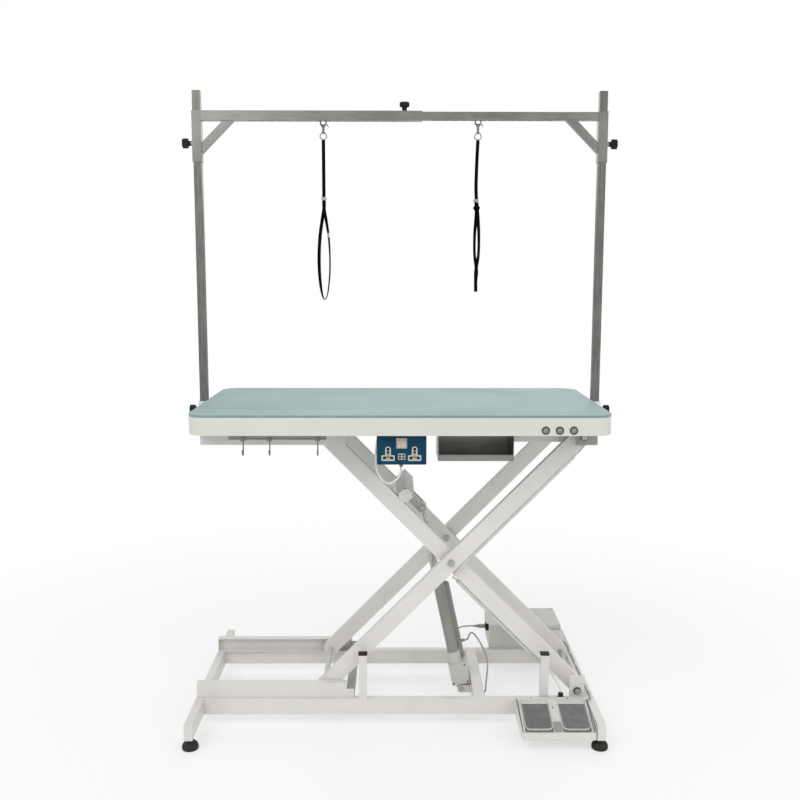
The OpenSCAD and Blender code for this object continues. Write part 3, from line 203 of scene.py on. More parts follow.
def frosted_top():
    """Back-painted tempered glass with a fine acid-etched face: pale teal, satin, with soft clouds."""
    material, tree, shader = surface("etched_glass_top", "#9DB4B1", 0.5, IOR=1.52, Specular_IOR_Level=0.15)
    where = own_place(tree)
    # Etched grain of about 1.2 mm, coarser than the real one so that it shows
    embossed(tree, shader, noise(tree, where, 820, 2), 0.10)
    uneven(tree, shader, noise(tree, where, 3.2, 3), "#A1B8B5", "#98AFAC", 0.35, 0.75, 0.56, 0.05)
    return material


def nylon_web():
    """Woven nylon webbing: ribs across the strap every 1.4 mm and warp ends every 1.1 mm, black and soft."""
    material, tree, shader = surface("nylon_webbing_black", "#060607", 0.88, Specular_IOR_Level=0.08)
    # The strap's own coordinates are millimetres, across and along
    laid = put(tree, "UVMap").outputs[0]
    ribs = bands(tree, laid, 0.224, 0.4, "Y", 1)
    ends = bands(tree, laid, 0.285, 0.2, "X")
    weave = put(tree, "Math", {0: ribs, 1: ends}, operation="MULTIPLY").outputs[0]
    embossed(tree, shader, weave, 0.7, 0.0004)
    uneven(tree, shader, weave, "#030304", "#0C0C0D", 0.1, 0.9, 0.88, 0.05)
    return material


def ribbed_rubber():
    """Grey moulded rubber tread: fine cross ribs every 3 mm, matt, greyer where shoes rub it."""
    material, tree, shader = surface("tread_rubber_grey", "#707270", 0.72, IOR=1.52)
    where = own_place(tree)
    embossed(tree, shader, bands(tree, where, 105, 0, "Y"), 0.35, 0.0005)
    uneven(tree, shader, noise(tree, where, 45, 5), "#6C6E6C", "#7D7F7D", 0.42, 0.75, 0.72)
    return material


WHITE = powder_coat("powder_coat_off_white", "#E1DEDA", "#D9D6D1", 0.42)
# A darker copy of the off-white coat for the apron: its lower tone is painted shade.
SHADED_OFF_WHITE = powder_coat("powder_coat_off_white_painted_shade", "#D8D7CF", "#D1D0C8", 0.44)
DARK = powder_coat("powder_coat_slate_grey", "#5B5C60", "#505155", 0.48)
# Mid grey that is painted shade, for off-white parts and the console's cover where they lie in shadow.
PAINTED_SHADE_GREY = powder_coat("powder_coat_painted_shade_grey", "#9C9B95", "#8F8E88", 0.50)
BOX = powder_coat("powder_coat_light_grey", "#CDCCC7", "#BFBEB8", 0.46)
UPRIGHT = brushed("stainless_brushed_sleeve", "#969490", "#777570", 0.36, "Z")
# A darker copy of the brushed stainless for the masts: its lower tones are painted shade.
SHADED_MAST = brushed("stainless_brushed_mast_painted_shade", "#8C8A85", "#605E5A", 0.38, "Z")
LENGTHWISE = brushed("stainless_brushed_lengthwise", "#9D9B97", "#7F7D79", 0.36, "X")
HOOK = turned_metal("zinc_die_cast_hook", "#85847E", "#686762", 0.38)
NICKEL = turned_metal("nickel_plated_brass", "#A3A29A", "#8A8982", 0.40)
BEZEL = turned_metal("nickel_plated_bezel", "#77766F", "#65645F", 0.38)
CHROME = turned_metal("chrome_plated_steel", "#D8D8D6", "#B4B4B2", 0.16)
ZINC = turned_metal("zinc_plated_steel", "#C0C0BB", "#9C9C97", 0.42)
# The washers' dark grey is painted shade round the hinge nuts.
SHADED_WASHER = turned_metal("steel_washer_painted_shade", "#5C5B57", "#464541", 0.50)
ROD = turned_metal("ground_piston_rod", "#C2C3C3", "#A4A5A6", 0.26)
CAST = powder_coat("enamelled_aluminium_casting", "#CCCBC4", "#C1C0B8", 0.44)
TUBE = powder_coat("grey_enamelled_steel_tube", "#979690", "#888781", 0.40)
TOP = frosted_top()
TOP_EDGE = moulded("ground_glass_edge", "#7E9A95", "#6C8883", 0.30, 1, 0.05, Coat_Weight=0.3)
BLACK = moulded("abs_black", "#101011", "#18181A", 0.48, 1.2, 0.15, Specular_IOR_Level=0.25)
PLUG = moulded("polythene_tube_plug", "#161514", "#1F1D1C", 0.60, 1.4, 0.10, Specular_IOR_Level=0.2)
RUBBER = moulded("rubber_black", "#161616", "#202020", 0.66, 1.5, 0.25)
NYLON = moulded("nylon_charcoal", "#3A3A3C", "#464648", 0.50, 1.4, 0.12)
SHELL = moulded("abs_light_grey", "#DAD9D5", "#CBCAC5", 0.40, 1.1, 0.10)
TREAD = ribbed_rubber()
TEAL = moulded("polycarbonate_teal", "#064158", "#053549", 0.45, 1.6, 0.03, Specular_IOR_Level=0.15)
OUTLET = moulded("polycarbonate_pearl_grey", "#C9CCC9", "#BFC0BA", 0.36, 1.2, 0.05)
OUTLET_FACE = moulded("polycarbonate_beige_grey", "#A9A39A", "#98928A", 0.42, 1.2, 0.05)
ROCKER = moulded("polycarbonate_blush_white", "#D3C3BB", "#BFAFA7", 0.34, 1.2, 0.04)
LENS = moulded("acrylic_amber_red", "#8E3B24", "#6E2C1B", 0.18, 1.5, 0.02, Coat_Weight=0.5)
HOLE = moulded("phenolic_black", "#0B0B0C", "#141415", 0.6, 1, 0.1)
WHITE_PVC = moulded("pvc_sheath_white", "#E6E6DF", "#D6D6CE", 0.38, 1.3, 0.06)
GREY_PVC = moulded("pvc_sheath_grey", "#9B9B96", "#888883", 0.42, 1.3, 0.06)
CONDUIT = moulded("pvc_conduit_light_grey", "#D4D4D0", "#C3C3BE", 0.36, 1.4, 0.05)
BOARD = moulded("glass_epoxy_board_green", "#2C6A44", "#235839", 0.35, 0.9, 0.1)
WEB = nylon_web()


# Making pieces: lengths are millimetres, save where a note says metres
def only(piece):
    """Selects one object alone and makes it active."""
    bpy.ops.object.select_all(action="DESELECT")
    piece.select_set(True)
    bpy.context.view_layer.objects.active = piece


def fresh(name, data):
    """A new object with its data, selected alone."""
    piece = bpy.data.objects.new(name, data)
    bpy.context.collection.objects.link(piece)
    only(piece)
    return piece


def edit(mode="SELECT"):
    """Starts edit mode with everything selected, or nothing."""
    bpy.ops.object.mode_set(mode="EDIT")
    bpy.ops.mesh.select_all(action=mode)


def done():
    """Leaves edit mode."""
    bpy.ops.object.mode_set(mode="OBJECT")


def cleaned():
    """In edit mode, merges doubled points, turns the faces outwards and leaves edit mode."""
    bpy.ops.mesh.select_all(action="SELECT")
    bpy.ops.mesh.remove_doubles(threshold=1e-6)
    bpy.ops.mesh.normals_make_consistent(inside=False)
    done()


def applied(piece, kind, **settings):
    """Adds a modifier with its settings to the active piece and applies it."""
    bpy.ops.object.modifier_add(type=kind)
    modifier = piece.modifiers[-1]
    for key, value in settings.items():
        setattr(modifier, key, value)
    bpy.ops.object.modifier_apply(modifier=modifier.name)


def bevelled(piece, width, segments=3):
    """In edit mode, eases the sharp outer edges by a width."""
    bpy.ops.mesh.select_mode(type="EDGE")
    shape = bmesh.from_edit_mesh(piece.data)
    for edge in shape.edges:
        folded = len(edge.link_faces) == 2 and edge.calc_face_angle(0) > math.radians(35)
        edge.select_set(folded and edge.is_convex)
    bmesh.update_edit_mesh(piece.data)
    bpy.ops.mesh.bevel(offset=width / 1000, segments=segments, profile=0.5, clamp_overlap=True)


def shaded(piece, degrees=32):
    """Smooth shading that keeps flat faces flat beside eased edges."""
    only(piece)
    bpy.ops.object.shade_smooth_by_angle(angle=math.radians(degrees))
    applied(piece, "WEIGHTED_NORMAL", keep_sharp=True)


def tint(piece, material, test, frame_of=Matrix.Identity(4)):
    """Gives another material to the faces whose centre, in millimetres, and normal pass a test."""
    piece.data.materials.append(material)
    last = len(piece.data.materials) - 1
    inward = frame_of.inverted()
    for face in piece.data.polygons:
        if test(inward @ face.center * 1000, face.normal):
            face.material_index = last


def near(x, z, reach):
    """A test for the faces within reach of a line along Y."""
    return lambda c, n: math.hypot(c.x - x, c.z - z) < reach


def dressed(piece, material, body):
    """Gives a piece its material and its body."""
    if not piece.data.materials:
        piece.data.materials.append(material)
    if body:
        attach(piece, body)
    return piece


def eased(node, body, material, width, segments=3, seam=None):
    """A merged copy of a node's solid with its sharp edges eased, as rolled tube and folded sheet have them.

    A seam, at its place along X, parts the faces where two tubes with their own grain meet.
    """
    mesh = nodes[node].data.copy()
    mesh.materials.clear()
    piece = fresh(node + "_eased", mesh)
    edit()
    bpy.ops.mesh.remove_doubles(threshold=3e-6)
    bpy.ops.mesh.dissolve_limited(angle_limit=math.radians(0.4))
    if seam:
        bpy.ops.mesh.select_all(action="SELECT")
        bpy.ops.mesh.bisect(plane_co=(seam / 1000, 0, 0), plane_no=(1, 0, 0))
    bevelled(piece, width, segments)
    done()
    shaded(piece)
    dressed(piece, material, body)
    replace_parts(piece, node)
    return piece


def painted(node, body, width):
    """A node of off-white steel, its edges eased."""
    return eased(node, body, WHITE, width)


def ready(piece, material, body=None, ease=0, place=None, degrees=32):
    """Finishes a new piece: its sharp edges are eased, it is set in its place and it is dressed."""
    only(piece)
    bpy.ops.object.transform_apply(location=True, rotation=True, scale=True)
    edit()
    cleaned()
    if ease:
        edit()
        bevelled(piece, ease)
        done()
    if place:
        piece.data.transform(place)
    shaded(piece, degrees)
    return dressed(piece, material, body)


def placed(piece, place, body):
    """Sets a finished piece in its place on its body."""
    piece.data.transform(place)
    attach(piece, body)
    return piece


def rounded(corners, radii, steps=6):
    """An outline whose corners have the given radii."""
    outline = []
    count = len(corners)
    for i, corner in enumerate(corners):
        radius = radii[i] if isinstance(radii, (list, tuple)) else radii
        here = Vector(corner)
        back = (Vector(corners[i - 1]) - here).normalized()
        ahead = (Vector(corners[(i + 1) % count]) - here).normalized()
        half = back.angle(ahead) / 2
        run = radius / math.tan(half)
        centre = here + (back + ahead).normalized() * radius / math.sin(half)
        first = here + back * run - centre
        last = here + ahead * run - centre
        sweep = first.angle_signed(last)
        for k in range(steps + 1):
            turn = Matrix.Rotation(-sweep * k / steps, 2)
            outline.append(tuple(centre + turn @ first))
    return outline


def oblong(x0, x1, y0, y1):
    """The corners of a rectangle, from its lower left."""
    return [(x0, y0), (x1, y0), (x1, y1), (x0, y1)]


def around(count):
    """Angles evenly spread over a whole turn."""
    return [2 * math.pi * k / count for k in range(count)]


def hexagon(across):
    """The outline of a hexagon, given its width across flats."""
    reach = across / math.sqrt(3)
    return [(reach * math.cos(a), reach * math.sin(a)) for a in around(6)]


def from_outline(name, outline, thick, base=0):
    """A plate cut to an outline in XY and extruded upwards from its base."""
    mesh = bpy.data.meshes.new(name)
    mesh.from_pydata([(x / 1000, y / 1000, 0) for x, y in outline], [], [list(range(len(outline)))])
    piece = fresh(name, mesh)
    edit()
    bpy.ops.mesh.extrude_region_move(TRANSFORM_OT_translate={"value": (0, 0, thick / 1000)})
    done()
    piece.data.transform(at(0, 0, base))
    return piece


def slab(name, x, y, z, radius=0):
    """A sheet or block between pairs of x, y and z, its upright corners rounded."""
    outline = oblong(*x, *y)
    return from_outline(name, rounded(outline, radius) if radius else outline, z[1] - z[0], z[0])


def block(name, wide, deep, z, radius=0, x=0, y=0):
    """A slab about a centre."""
    return slab(name, (x - wide / 2, x + wide / 2), (y - deep / 2, y + deep / 2), z, radius)


def turned(name, profile, steps=40):
    """A piece turned on a lathe about Z, from its radii and heights."""
    mesh = bpy.data.meshes.new(name)
    spots = [(r / 1000, 0, z / 1000) for r, z in profile]
    mesh.from_pydata(spots, [(i, i + 1) for i in range(len(spots) - 1)], [])
    piece = fresh(name, mesh)
    edit()
    bpy.ops.mesh.spin(steps=steps, angle=2 * math.pi, center=(0, 0, 0), axis=(0, 0, 1))
    cleaned()
    return piece


def cut(piece, cutter):
    """Takes the cutter's shape out of the piece."""
    only(piece)
    applied(piece, "BOOLEAN", operation="DIFFERENCE", solver="EXACT", object=cutter)
    bpy.data.objects.remove(cutter)


def sunk(piece, side, depth):
    """Insets the upper face by a margin and sinks it."""
    only(piece)
    edit("DESELECT")
    bpy.ops.mesh.select_mode(type="FACE")
    shape = bmesh.from_edit_mesh(piece.data)
    for face in shape.faces:
        face.select_set(face.normal.z > 0.9)
    bmesh.update_edit_mesh(piece.data)
    bpy.ops.mesh.inset(thickness=side / 1000, depth=-depth / 1000)
    done()


def joined(name, *pieces):
    """Several pieces as one that keeps their finishes."""
    only(pieces[0])
    for piece in pieces:
        piece.select_set(True)
    bpy.ops.object.join()
    pieces[0].name = name
    return pieces[0]


def another(piece, name, place, body):
    """A copy of a finished piece made at the origin, with its own mesh, in its place on its body."""
    copy = piece.copy()
    copy.data = piece.data.copy()
    copy.name = name
    copy.data.transform(place)
    if place.determinant() < 0:
        copy.data.flip_normals()
    bpy.context.collection.objects.link(copy)
    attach(copy, body)
    return copy


def copies(pattern, body, places):
    """Copies of a finished piece, from their names and places. The pattern goes."""
    for name, place in places.items():
        another(pattern, name, place, body)
    bpy.data.objects.remove(pattern)


def numbered(pattern, body, places):
    """Copies of a finished piece, named after it and numbered from 0."""
    copies(pattern, body, {"%s_%d" % (pattern.name, k): place for k, place in enumerate(places)})


def smoothed(route, steps):
    """Points on one smooth curve through the route."""
    ends = [route[0] * 2 - route[1], *route, route[-1] * 2 - route[-2]]
    path = []
    for a, b, c, d in zip(ends, ends[1:], ends[2:], ends[3:]):
        for k in range(steps):
            t = k / steps
            path.append(0.5 * (2 * b + (c - a) * t + (2 * a - 5 * b + 4 * c - d) * t * t
                               + (3 * b - a - 3 * c + d) * t ** 3))
    return path + [route[-1]]


def curved(route, steps=4):
    """A smooth path in metres through a route in millimetres."""
    return smoothed([Vector(p) / 1000 for p in route], steps)


def wire(name, path, diameter, looped=False):
    """A round wire along a path in metres, its ends capped or looped into a ring."""
    curve = bpy.data.curves.new(name, "CURVE")
    curve.dimensions = "3D"
    line = curve.splines.new("POLY")
    line.points.add(len(path) - 1)
    for point, place in zip(line.points, path):
        point.co = (*place, 1)
    line.use_cyclic_u = looped
    curve.bevel_depth = diameter / 2
    curve.bevel_resolution = 2
    curve.use_fill_caps = not looped
    fresh(name, curve)
    bpy.ops.object.convert(target="MESH")
    return bpy.context.view_layer.objects.active


def drawn_tube(name, path, diameter):
    """A closed round tube along a path in metres, as an extruder would lay it."""
    piece = wire(name, path, diameter)
    edit()
    cleaned()
    bpy.ops.object.shade_smooth_by_angle(angle=math.radians(40))
    return piece


def ring(name, height, radius, thick):
    """An upright ring of round wire, its centre at a height on the Z axis."""
    centre = Vector((0, 0, height)) / 1000
    path = [centre + Vector((math.cos(a), 0, math.sin(a))) * radius / 1000 for a in around(36)]
    return wire(name, path, thick / 1000, looped=True)


def cable(name, route, diameter, material, node, frame_of=Matrix.Identity(4)):
    """A cable whose two ends both go into the table, along a route in millimetres."""
    path = smoothed([frame_of @ (Vector(p) / 1000) for p in route], 5)
    piece = dressed(drawn_tube(name, path, diameter), material, None)
    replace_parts(piece, node)
    return piece


def webbing(name, route, width, thick, turn, level=False):
    """A woven strap along a route in millimetres: a flat section with soft edges that turns on its way.

    It bends across its width, or over its flat where it is kept level along X. Its own coordinates are
    millimetres across and along, for the weave.
    """
    half, edge = width / 2, thick / 2
    lower = [(-half, 0), (-half + 0.35, -edge * 0.8), (-half + 1.2, -edge), (0, -edge), (half - 1.2, -edge),
             (half - 0.35, -edge * 0.8)]
    section = lower + [(-u, -v) for u, v in lower]
    path = smoothed([Vector(p) for p in route], 6)
    twist = smoothed([Vector((t, 0, 0)) for t in turn], 6)
    spots, along = [], 0
    for k, here in enumerate(path):
        behind = path[max(k - 1, 0)]
        ahead = (path[min(k + 1, len(path) - 1)] - behind).normalized()
        across = Vector((1, 0, 0)) - ahead * ahead.x if level else ahead.cross(Vector((0, 1, 0)))
        side = across.normalized()
        face = side.cross(ahead)
        lean = Matrix.Rotation(math.radians(twist[k].x), 3, ahead)
        along += (here - behind).length
        spots += [(here + (lean @ side) * u + (lean @ face) * v, u, along) for u, v in section]
    count = len(section)
    last = len(spots) - count
    faces = [(k + i, k + (i + 1) % count, k + count + (i + 1) % count, k + count + i)
             for k in range(0, last, count) for i in range(count)]
    faces += [tuple(range(count - 1, -1, -1)), tuple(range(last, len(spots)))]
    mesh = bpy.data.meshes.new(name)
    mesh.from_pydata([tuple(place / 1000) for place, u, v in spots], [], faces)
    laid = mesh.uv_layers.new(name="UVMap")
    for loop in mesh.loops:
        laid.data[loop.index].uv = spots[loop.vertex_index][1:]
    piece = fresh(name, mesh)
    edit()
    bpy.ops.mesh.normals_make_consistent(inside=False)
    done()
    bpy.ops.object.shade_smooth_by_angle(angle=math.radians(50))
    return piece


def pan_screw(name, wide, tall, material):
    """A pan head screw with a cross recess, its head up from z = 0."""
    head = turned(name, [
        (0, tall), (wide * 0.22, tall * 0.98), (wide * 0.38, tall * 0.8), (wide * 0.47, tall * 0.45),
        (wide / 2, 0.15), (wide / 2, 0), (0, 0)], 28)
    long, short = (-wide * 0.3, wide * 0.3), (-wide * 0.06, wide * 0.06)
    for x, y in ((long, short), (short, long)):
        cut(head, slab(name + "_slot", x, y, (tall * 0.45, tall * 2)))
    return ready(head, material, None, degrees=30)


def hex_nut(name, across, thick, bolt):
    """A hexagon nut on its washer, with the bolt's end standing out of it."""
    washer = 1.3
    base = turned(name + "_washer", [
        (0, 0), (across * 0.70, 0), (across * 0.70, washer - 0.2), (across * 0.67, washer), (0, washer)], 36)
    flats = from_outline(name, hexagon(across), thick, washer)
    top = thick + 3.3
    end = turned(name + "_bolt", [
        (0, washer), (bolt / 2, washer), (bolt / 2, top - 0.7), (bolt / 2 - 0.8, top), (0, top)], 28)
    # The washer's dark grey is painted shade.
    return joined(name, ready(flats, ZINC, None, ease=0.7), ready(base, SHADED_WASHER, degrees=30),
                  ready(end, ZINC, degrees=30))


# Cables and the pieces on them: the routes, in millimetres, that the part's source gives their solids
socket_flex = cable("socket_flex", [
    (3, -282, 851.9), (3, -282, 845), (1, -282, 834), (-4, -282, 822), (-13, -281, 811), (-24, -279, 803),
    (-34, -276, 800), (-46, -272, 804), (-57, -266, 814), (-66, -259, 828), (-71, -253, 844),
    (-73, -249, 866), (-72, -247, 895), (-69, -247, 922), (-66, -247, 942), (-66, -247, 949.9)],
    0.006, WHITE_PVC, "socket_cord")
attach(socket_flex, "table")

arm_lead = cable("arm_to_base_lead", [
    (450.8, -126.5, 179), (455, -126.5, 174.7), (460, -128, 170), (468, -132, 164), (476, -141, 159),
    (484, -154, 153), (492, -168, 144), (500, -181, 131), (507, -191, 117), (511, -196, 104),
    (511, -196, 96), (511, -196, 88.1)], 0.005, WHITE_PVC, "arm_lead")
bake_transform(arm_lead)

pivot_lead = cable("pivot_bridge_lead", [
    (64.9, -155.5, -32.3), (52, -155.5, -32.3), (36, -155, -33), (20, -154, -34), (4, -152, -36),
    (-11, -149.5, -38), (-24, -146.5, -41), (-33, -141, -44), (-36, -134, -48), (-35, -128.5, -54),
    (-33.4, -126.5, -61), (-33.4, -126.5, -65.2)], 0.006, WHITE_PVC, "pivot_cable", MIDDLE)
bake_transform(pivot_lead)

# The supply lead's plug: a ribbed grip that pushes into the control box's inlet, with its strain relief
GRIP = [(0, 26)] + [(6.9 if k % 3 == 1 else 7.5, 25.6 - 1.6 * k) for k in range(11)]
RELIEF = [(5.6 - 0.22 * k + (0.25 if k % 2 else -0.25), -1.2 - 1.5 * k) for k in range(12)]
supply_plug = turned("supply_plug", [
    *GRIP, (7.5, 4), (7.5, 0), (6, -0.4), *RELIEF, (2.9, -19), (0, -19)], 36)
ready(supply_plug, GREY_PVC, "base", place=at(287, 235, 158, ry=90), degrees=40)
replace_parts(supply_plug, "motor_leads")

supply_lead = cable("supply_lead", [
    (268, 235, 158), (256, 235, 158), (240, 233, 158), (224, 228, 157), (210, 218, 154), (201, 202, 147),
    (197, 186, 136), (196, 170, 124), (196, 154, 113), (196, 136, 107), (197, 112, 104), (198, 84, 104),
    (200, 60, 108), (202, 44, 110.8), (202, 34.1, 110.8)],
    0.005, GREY_PVC, "motor_leads")
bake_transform(supply_lead)

motor_lead = cable("motor_lead", [
    (220.6, 7, 197.5), (228, 7, 199.5), (232, 5, 208), (235, 1, 219), (241, -7, 228), (251, -18, 226),
    (264, -32, 211), (275, -46, 194), (286, -66, 172), (289, -82, 150), (287, -93, 128), (284, -100, 106),
    (282, -104, 88), (281.5, -106.5, 75), (278, -107, 66), (276, -107, 64), (272.1, -107, 64)],
    0.005, GREY_PVC, "motor_leads")
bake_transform(motor_lead)


# Frame of the base
def hinge_bolt(height):
    """A test for the ends of the hinge bolts, outside the runners' plates and between them."""
    on_axis = near(HINGE_X, height, 12.3)
    return lambda c, n: on_axis(c, n) and (abs(c.y) > 195.1 or abs(c.y) < 138)


painted("base_cross_tubes", "base", 2.2)
rails = painted("base_rails", "base", 1.8)
tint(rails, PLUG, lambda c, n: c.z > POST_TOP - 0.1)
cross = painted("actuator_cross_tube", "base", 1.6)
tint(cross, ZINC, lambda c, n: abs(c.x) < 9.5 and abs(c.z) < 9.5 and abs(c.y) > 21.6, CLEVIS)
runners = painted("base_runners", "base", 0.9)
# The plate across the runners' ends is off-white paint; its grey is painted shade.
tint(runners, PAINTED_SHADE_GREY, lambda c, n: -168.1 < c.x < -142.9 and c.z < 118.5 and abs(c.y) < 195.1)
tint(runners, ZINC, hinge_bolt(LOW_PIVOT))

# Arms
for level in ("inner", "outer"):
    for end in ("front", "rear"):
        painted("%s_arm_%s" % (level, end), level + "_arms", 1.8)
ears = painted("inner_cross_tube", "inner_arms", 1.6)
tint(ears, ZINC, near(739, -40, 9.3), INNER_ARMS)
for level in ("inner", "outer"):
    eased(level + "_conduit", level + "_arms", CONDUIT, 0.6)
eased("pivot_bolts", "outer_arms", ZINC, 0.8)


def tyre(height):
    """A test for a roller's nylon tyre, outside its steel axle."""
    axle = near(ROLLER_X, height, 8.02)
    return lambda c, n: abs(c.y) > 175.4 and not axle(c, n)


for node, height in (("lower_rollers", LOW_PIVOT), ("upper_rollers", HIGH_PIVOT)):
    rollers = eased(node, node, CAST, 0.8)
    tint(rollers, NYLON, tyre(height))

# Table
top = eased("table_top", "table", TOP, 1.6, 4)
tint(top, TOP_EDGE, lambda c, n: n.z < 0.5)
# The apron takes the darker copy of the off-white coat: painted shade.
eased("table_frame", "table", SHADED_OFF_WHITE, 1)
table_rails = painted("table_runners", "table", 0.9)
# The hinge plates at the runners' right ends are off-white paint; their grey is painted shade.
tint(table_rails, PAINTED_SHADE_GREY, lambda c, n: c.x > 520 and abs(c.y) > 168)
tint(table_rails, ZINC, hinge_bolt(HIGH_PIVOT))
painted("mast_sockets", "table", 1.2)
eased("hook_rail", "table", LENGTHWISE, 0.5)
for word in ("left", "middle", "right"):
    eased("hook_" + word, "hook_" + word, HOOK, 0.5)

# Masts with their black end caps, and the bar, whose ends are sleeves on the masts
MAST_CAP = 1984
SLEEVE = 626.8
# The masts take the darker copy of the brushed stainless: painted shade.
masts = eased("masts", "masts", SHADED_MAST, 1.6)
tint(masts, BLACK, lambda c, n: c.z > MAST_CAP)
for node, side in (("outer_bar", -1), ("inner_bar", 1)):
    bar = eased(node, "cross_bar", LENGTHWISE, 1.2, seam=side * SLEEVE)
    tint(bar, UPRIGHT, lambda c, n: abs(c.x) > SLEEVE - 0.01)

# Feet: a squashed rubber ball on a threaded stud with a lock nut
pad = turned("foot_ball", [
    (0, 0), (20.5, 0), (23.4, 0.8), (24.7, 3), (25, 6.5), (24.9, 10), (24.2, 13.2), (22.6, 16.6), (20, 20),
    (17, 22.8), (14.4, 24.8), (12.6, 26.4), (11.4, 28), (9.6, 28.8), (0, 28.8)], 48)
ready(pad, RUBBER, None, degrees=60)
thread = [(5 if k % 2 else 4.35, 28.0 + 0.75 * k) for k in range(47)]
stud = ready(turned("foot_thread", [(0, 28)] + thread + [(0, 63.2)], 24), ZINC, None, degrees=30)
lock = ready(from_outline("foot_lock", hexagon(17), 7, 30.2), ZINC, ease=0.8)
stud = joined("foot_thread", stud, lock)
for end, side in ENDS:
    for word, x in (("left", -631.5), ("right", 603.5)):
        corner = "_%s_%s" % (end, word)
        place = at(x, side * 352, 0)
        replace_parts(another(pad, "foot_ball" + corner, place, "foot" + corner), "foot" + corner)
        another(stud, "foot_thread" + corner, place, "foot" + corner)
bpy.data.objects.remove(pad)
bpy.data.objects.remove(stud)


# Star knobs: a six-lobed grip with a zinc insert, on a clamp screw
def star_knob(body, screw, neck, thick, place):
    """A star knob along +Z, the tip of its screw at z = 0, set in its place."""
    name = body + "_star"
    outline = []
    for turn in around(96):
        reach = 15.5 - 3.4 * (0.5 - 0.5 * math.cos(6 * turn)) ** 1.6
        outline.append((reach * math.cos(turn), reach * math.sin(turn)))
    collar = screw + neck
    top = collar + thick
    grip = from_outline(name, outline, thick, collar)
    sunk(grip, 5.6, 1.3)
    ready(grip, BLACK, None, ease=1.9)
    stem = turned(name + "_stem", [
        (0, screw), (7.2, screw), (7.75, screw + 0.6), (7.75, screw + neck * 0.6), (9.6, collar + 0.4),
        (0, collar + 0.4)])
    insert = turned(name + "_insert", [
        (0, top - 0.2), (3.4, top - 0.4), (4.9, top - 0.9), (5.1, top - 1.6), (0, top - 1.6)], 32)
    count = max(2, int(screw / 0.6))
    worm = [(3.9 if k % 2 else 3.4, screw * k / count) for k in range(count)]
    shank = turned(name + "_screw", [(0, 0)] + worm + [(3.9, screw + 0.2), (0, screw + 0.2)], 24)
    grip = joined(name, grip, ready(stem, BLACK, degrees=30), ready(insert, ZINC, degrees=30),
                  ready(shank, ZINC, degrees=30))
    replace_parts(placed(grip, place, body), body)


SCREW_TIP = MAST_X + 12.75
for word, side in SIDES:
    for kind, screw, neck, height in (("clamp", 9.55, 6.9, 976), ("sleeve", 8.75, 7.7, 1828)):
        place = at(side * SCREW_TIP, MAST_Y, height, ry=side * 90)
        star_knob("%s_knob_%s" % (kind, word), screw, neck, 19, place)
star_knob("bar_knob", 2.75, 13, 15, at(14, MAST_Y, 1925.75))

# Push buttons in the apron's front: a bevelled bezel with a darker ring round a dished metal cap
bezel = turned("button_bezel", [
    (8.35, -20), (8.35, 0.6), (8.7, 1.1), (9.9, 1.1), (10.2, 1.7), (10.9, 2), (11.7, 1.75), (12.4, 0.9),
    (12.5, 0), (9.9, 0), (9.9, -22), (8.35, -22), (8.35, -20)], 56)
ready(bezel, BEZEL, None, degrees=28)
tint(bezel, NYLON, lambda c, n: 8.4 < math.hypot(c.x, c.y) < 9.9 and c.z > 0.9)
cap = turned("button_cap", [
    (0, 2.35), (4.6, 2.5), (5.9, 2.85), (6.8, 3), (7.5, 2.9), (8, 2.3), (8, -17), (0, -17)], 48)
ready(cap, NICKEL, None, degrees=24)
for word, x in (("left", 424), ("middle", 465), ("right", 506)):
    place = at(x, -325, 968, rx=90)
    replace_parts(another(bezel, "button_bezel_" + word, place, "table"), "button_rims")
    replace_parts(another(cap, "button_cap_" + word, place, "button_" + word), "button_" + word)
bpy.data.objects.remove(bezel)
bpy.data.objects.remove(cap)


# Outlet panel: a blue-green face plate with two universal outlets, two USB ports and a pair of rockers
FACE = at(4.5, -302, 0, rx=90)
OUTLETS = {"left": -40.1, "right": 38.1}
OUTLET_Z, USB_Z, SWITCH_Z = 895, 886, 926
SWITCH = FACE @ at(0, SWITCH_Z, 0)
EARTH_Y = 13.6
SLANTED_X, SLANTED_Y = 10.4, -12.9
PORT_X, PORT_Y = 5, 3.9


def in_hole(c, n):
    """Whether a face of an outlet lies in one of its holes and not on its outer wall."""
    earth = math.hypot(c.x, c.y - EARTH_Y) < 4.8
    upright = abs(c.x) < 3.5 and -12.5 < c.y < 8
    slanted = abs(abs(c.x) - SLANTED_X) < 6.4 and abs(c.y - SLANTED_Y) < 5.6
    return -5.2 < c.z < -0.75 and (c.z < -3 or abs(n.z) < 0.5) and (earth or upright or slanted)


def outlet(name, place):
    """A three-in-one outlet: its raised rim, its sunk face and its dark holes, in the plate's own plane."""
    arch, wide, shoulder, foot = 8.25, 19.5, -4.5, -21.5
    crown = [(arch * math.cos(a), 13.25 + arch * math.sin(a)) for a in around(28)[:15]]
    lower = rounded([(-wide, shoulder), (-wide, foot), (wide, foot), (wide, shoulder)], [2.5, 3, 3, 2.5], 5)
    body = from_outline(name, crown + [(-arch, shoulder)] + lower + [(arch, shoulder)], 6.6, -6)
    sunk(body, 2.6, 1.2)
    earth = turned(name + "_hole", [(0, -5), (4.5, -5), (4.5, 3), (0, 3)], 24)
    earth.data.transform(at(0, EARTH_Y, 0))
    cut(body, earth)
    for x, y, wide, tall, lean in ((0, 3.9, 6.6, 7.6, 0), (-SLANTED_X, SLANTED_Y, 10.4, 6.6, 28),
                                   (SLANTED_X, SLANTED_Y, 10.4, 6.6, -28), (0, -10.3, 4.4, 4, 0)):
        hole = block(name + "_hole", wide, tall, (-5, 3), 0.9)
        hole.data.transform(at(x, y, 0, rz=lean))
        cut(body, hole)
    ready(body, OUTLET, None, degrees=28)
    tint(body, OUTLET_FACE, lambda c, n: -2 < c.z < -0.1 and n.z > 0.9)
    tint(body, HOLE, in_hole)
    placed(body, place, "table")


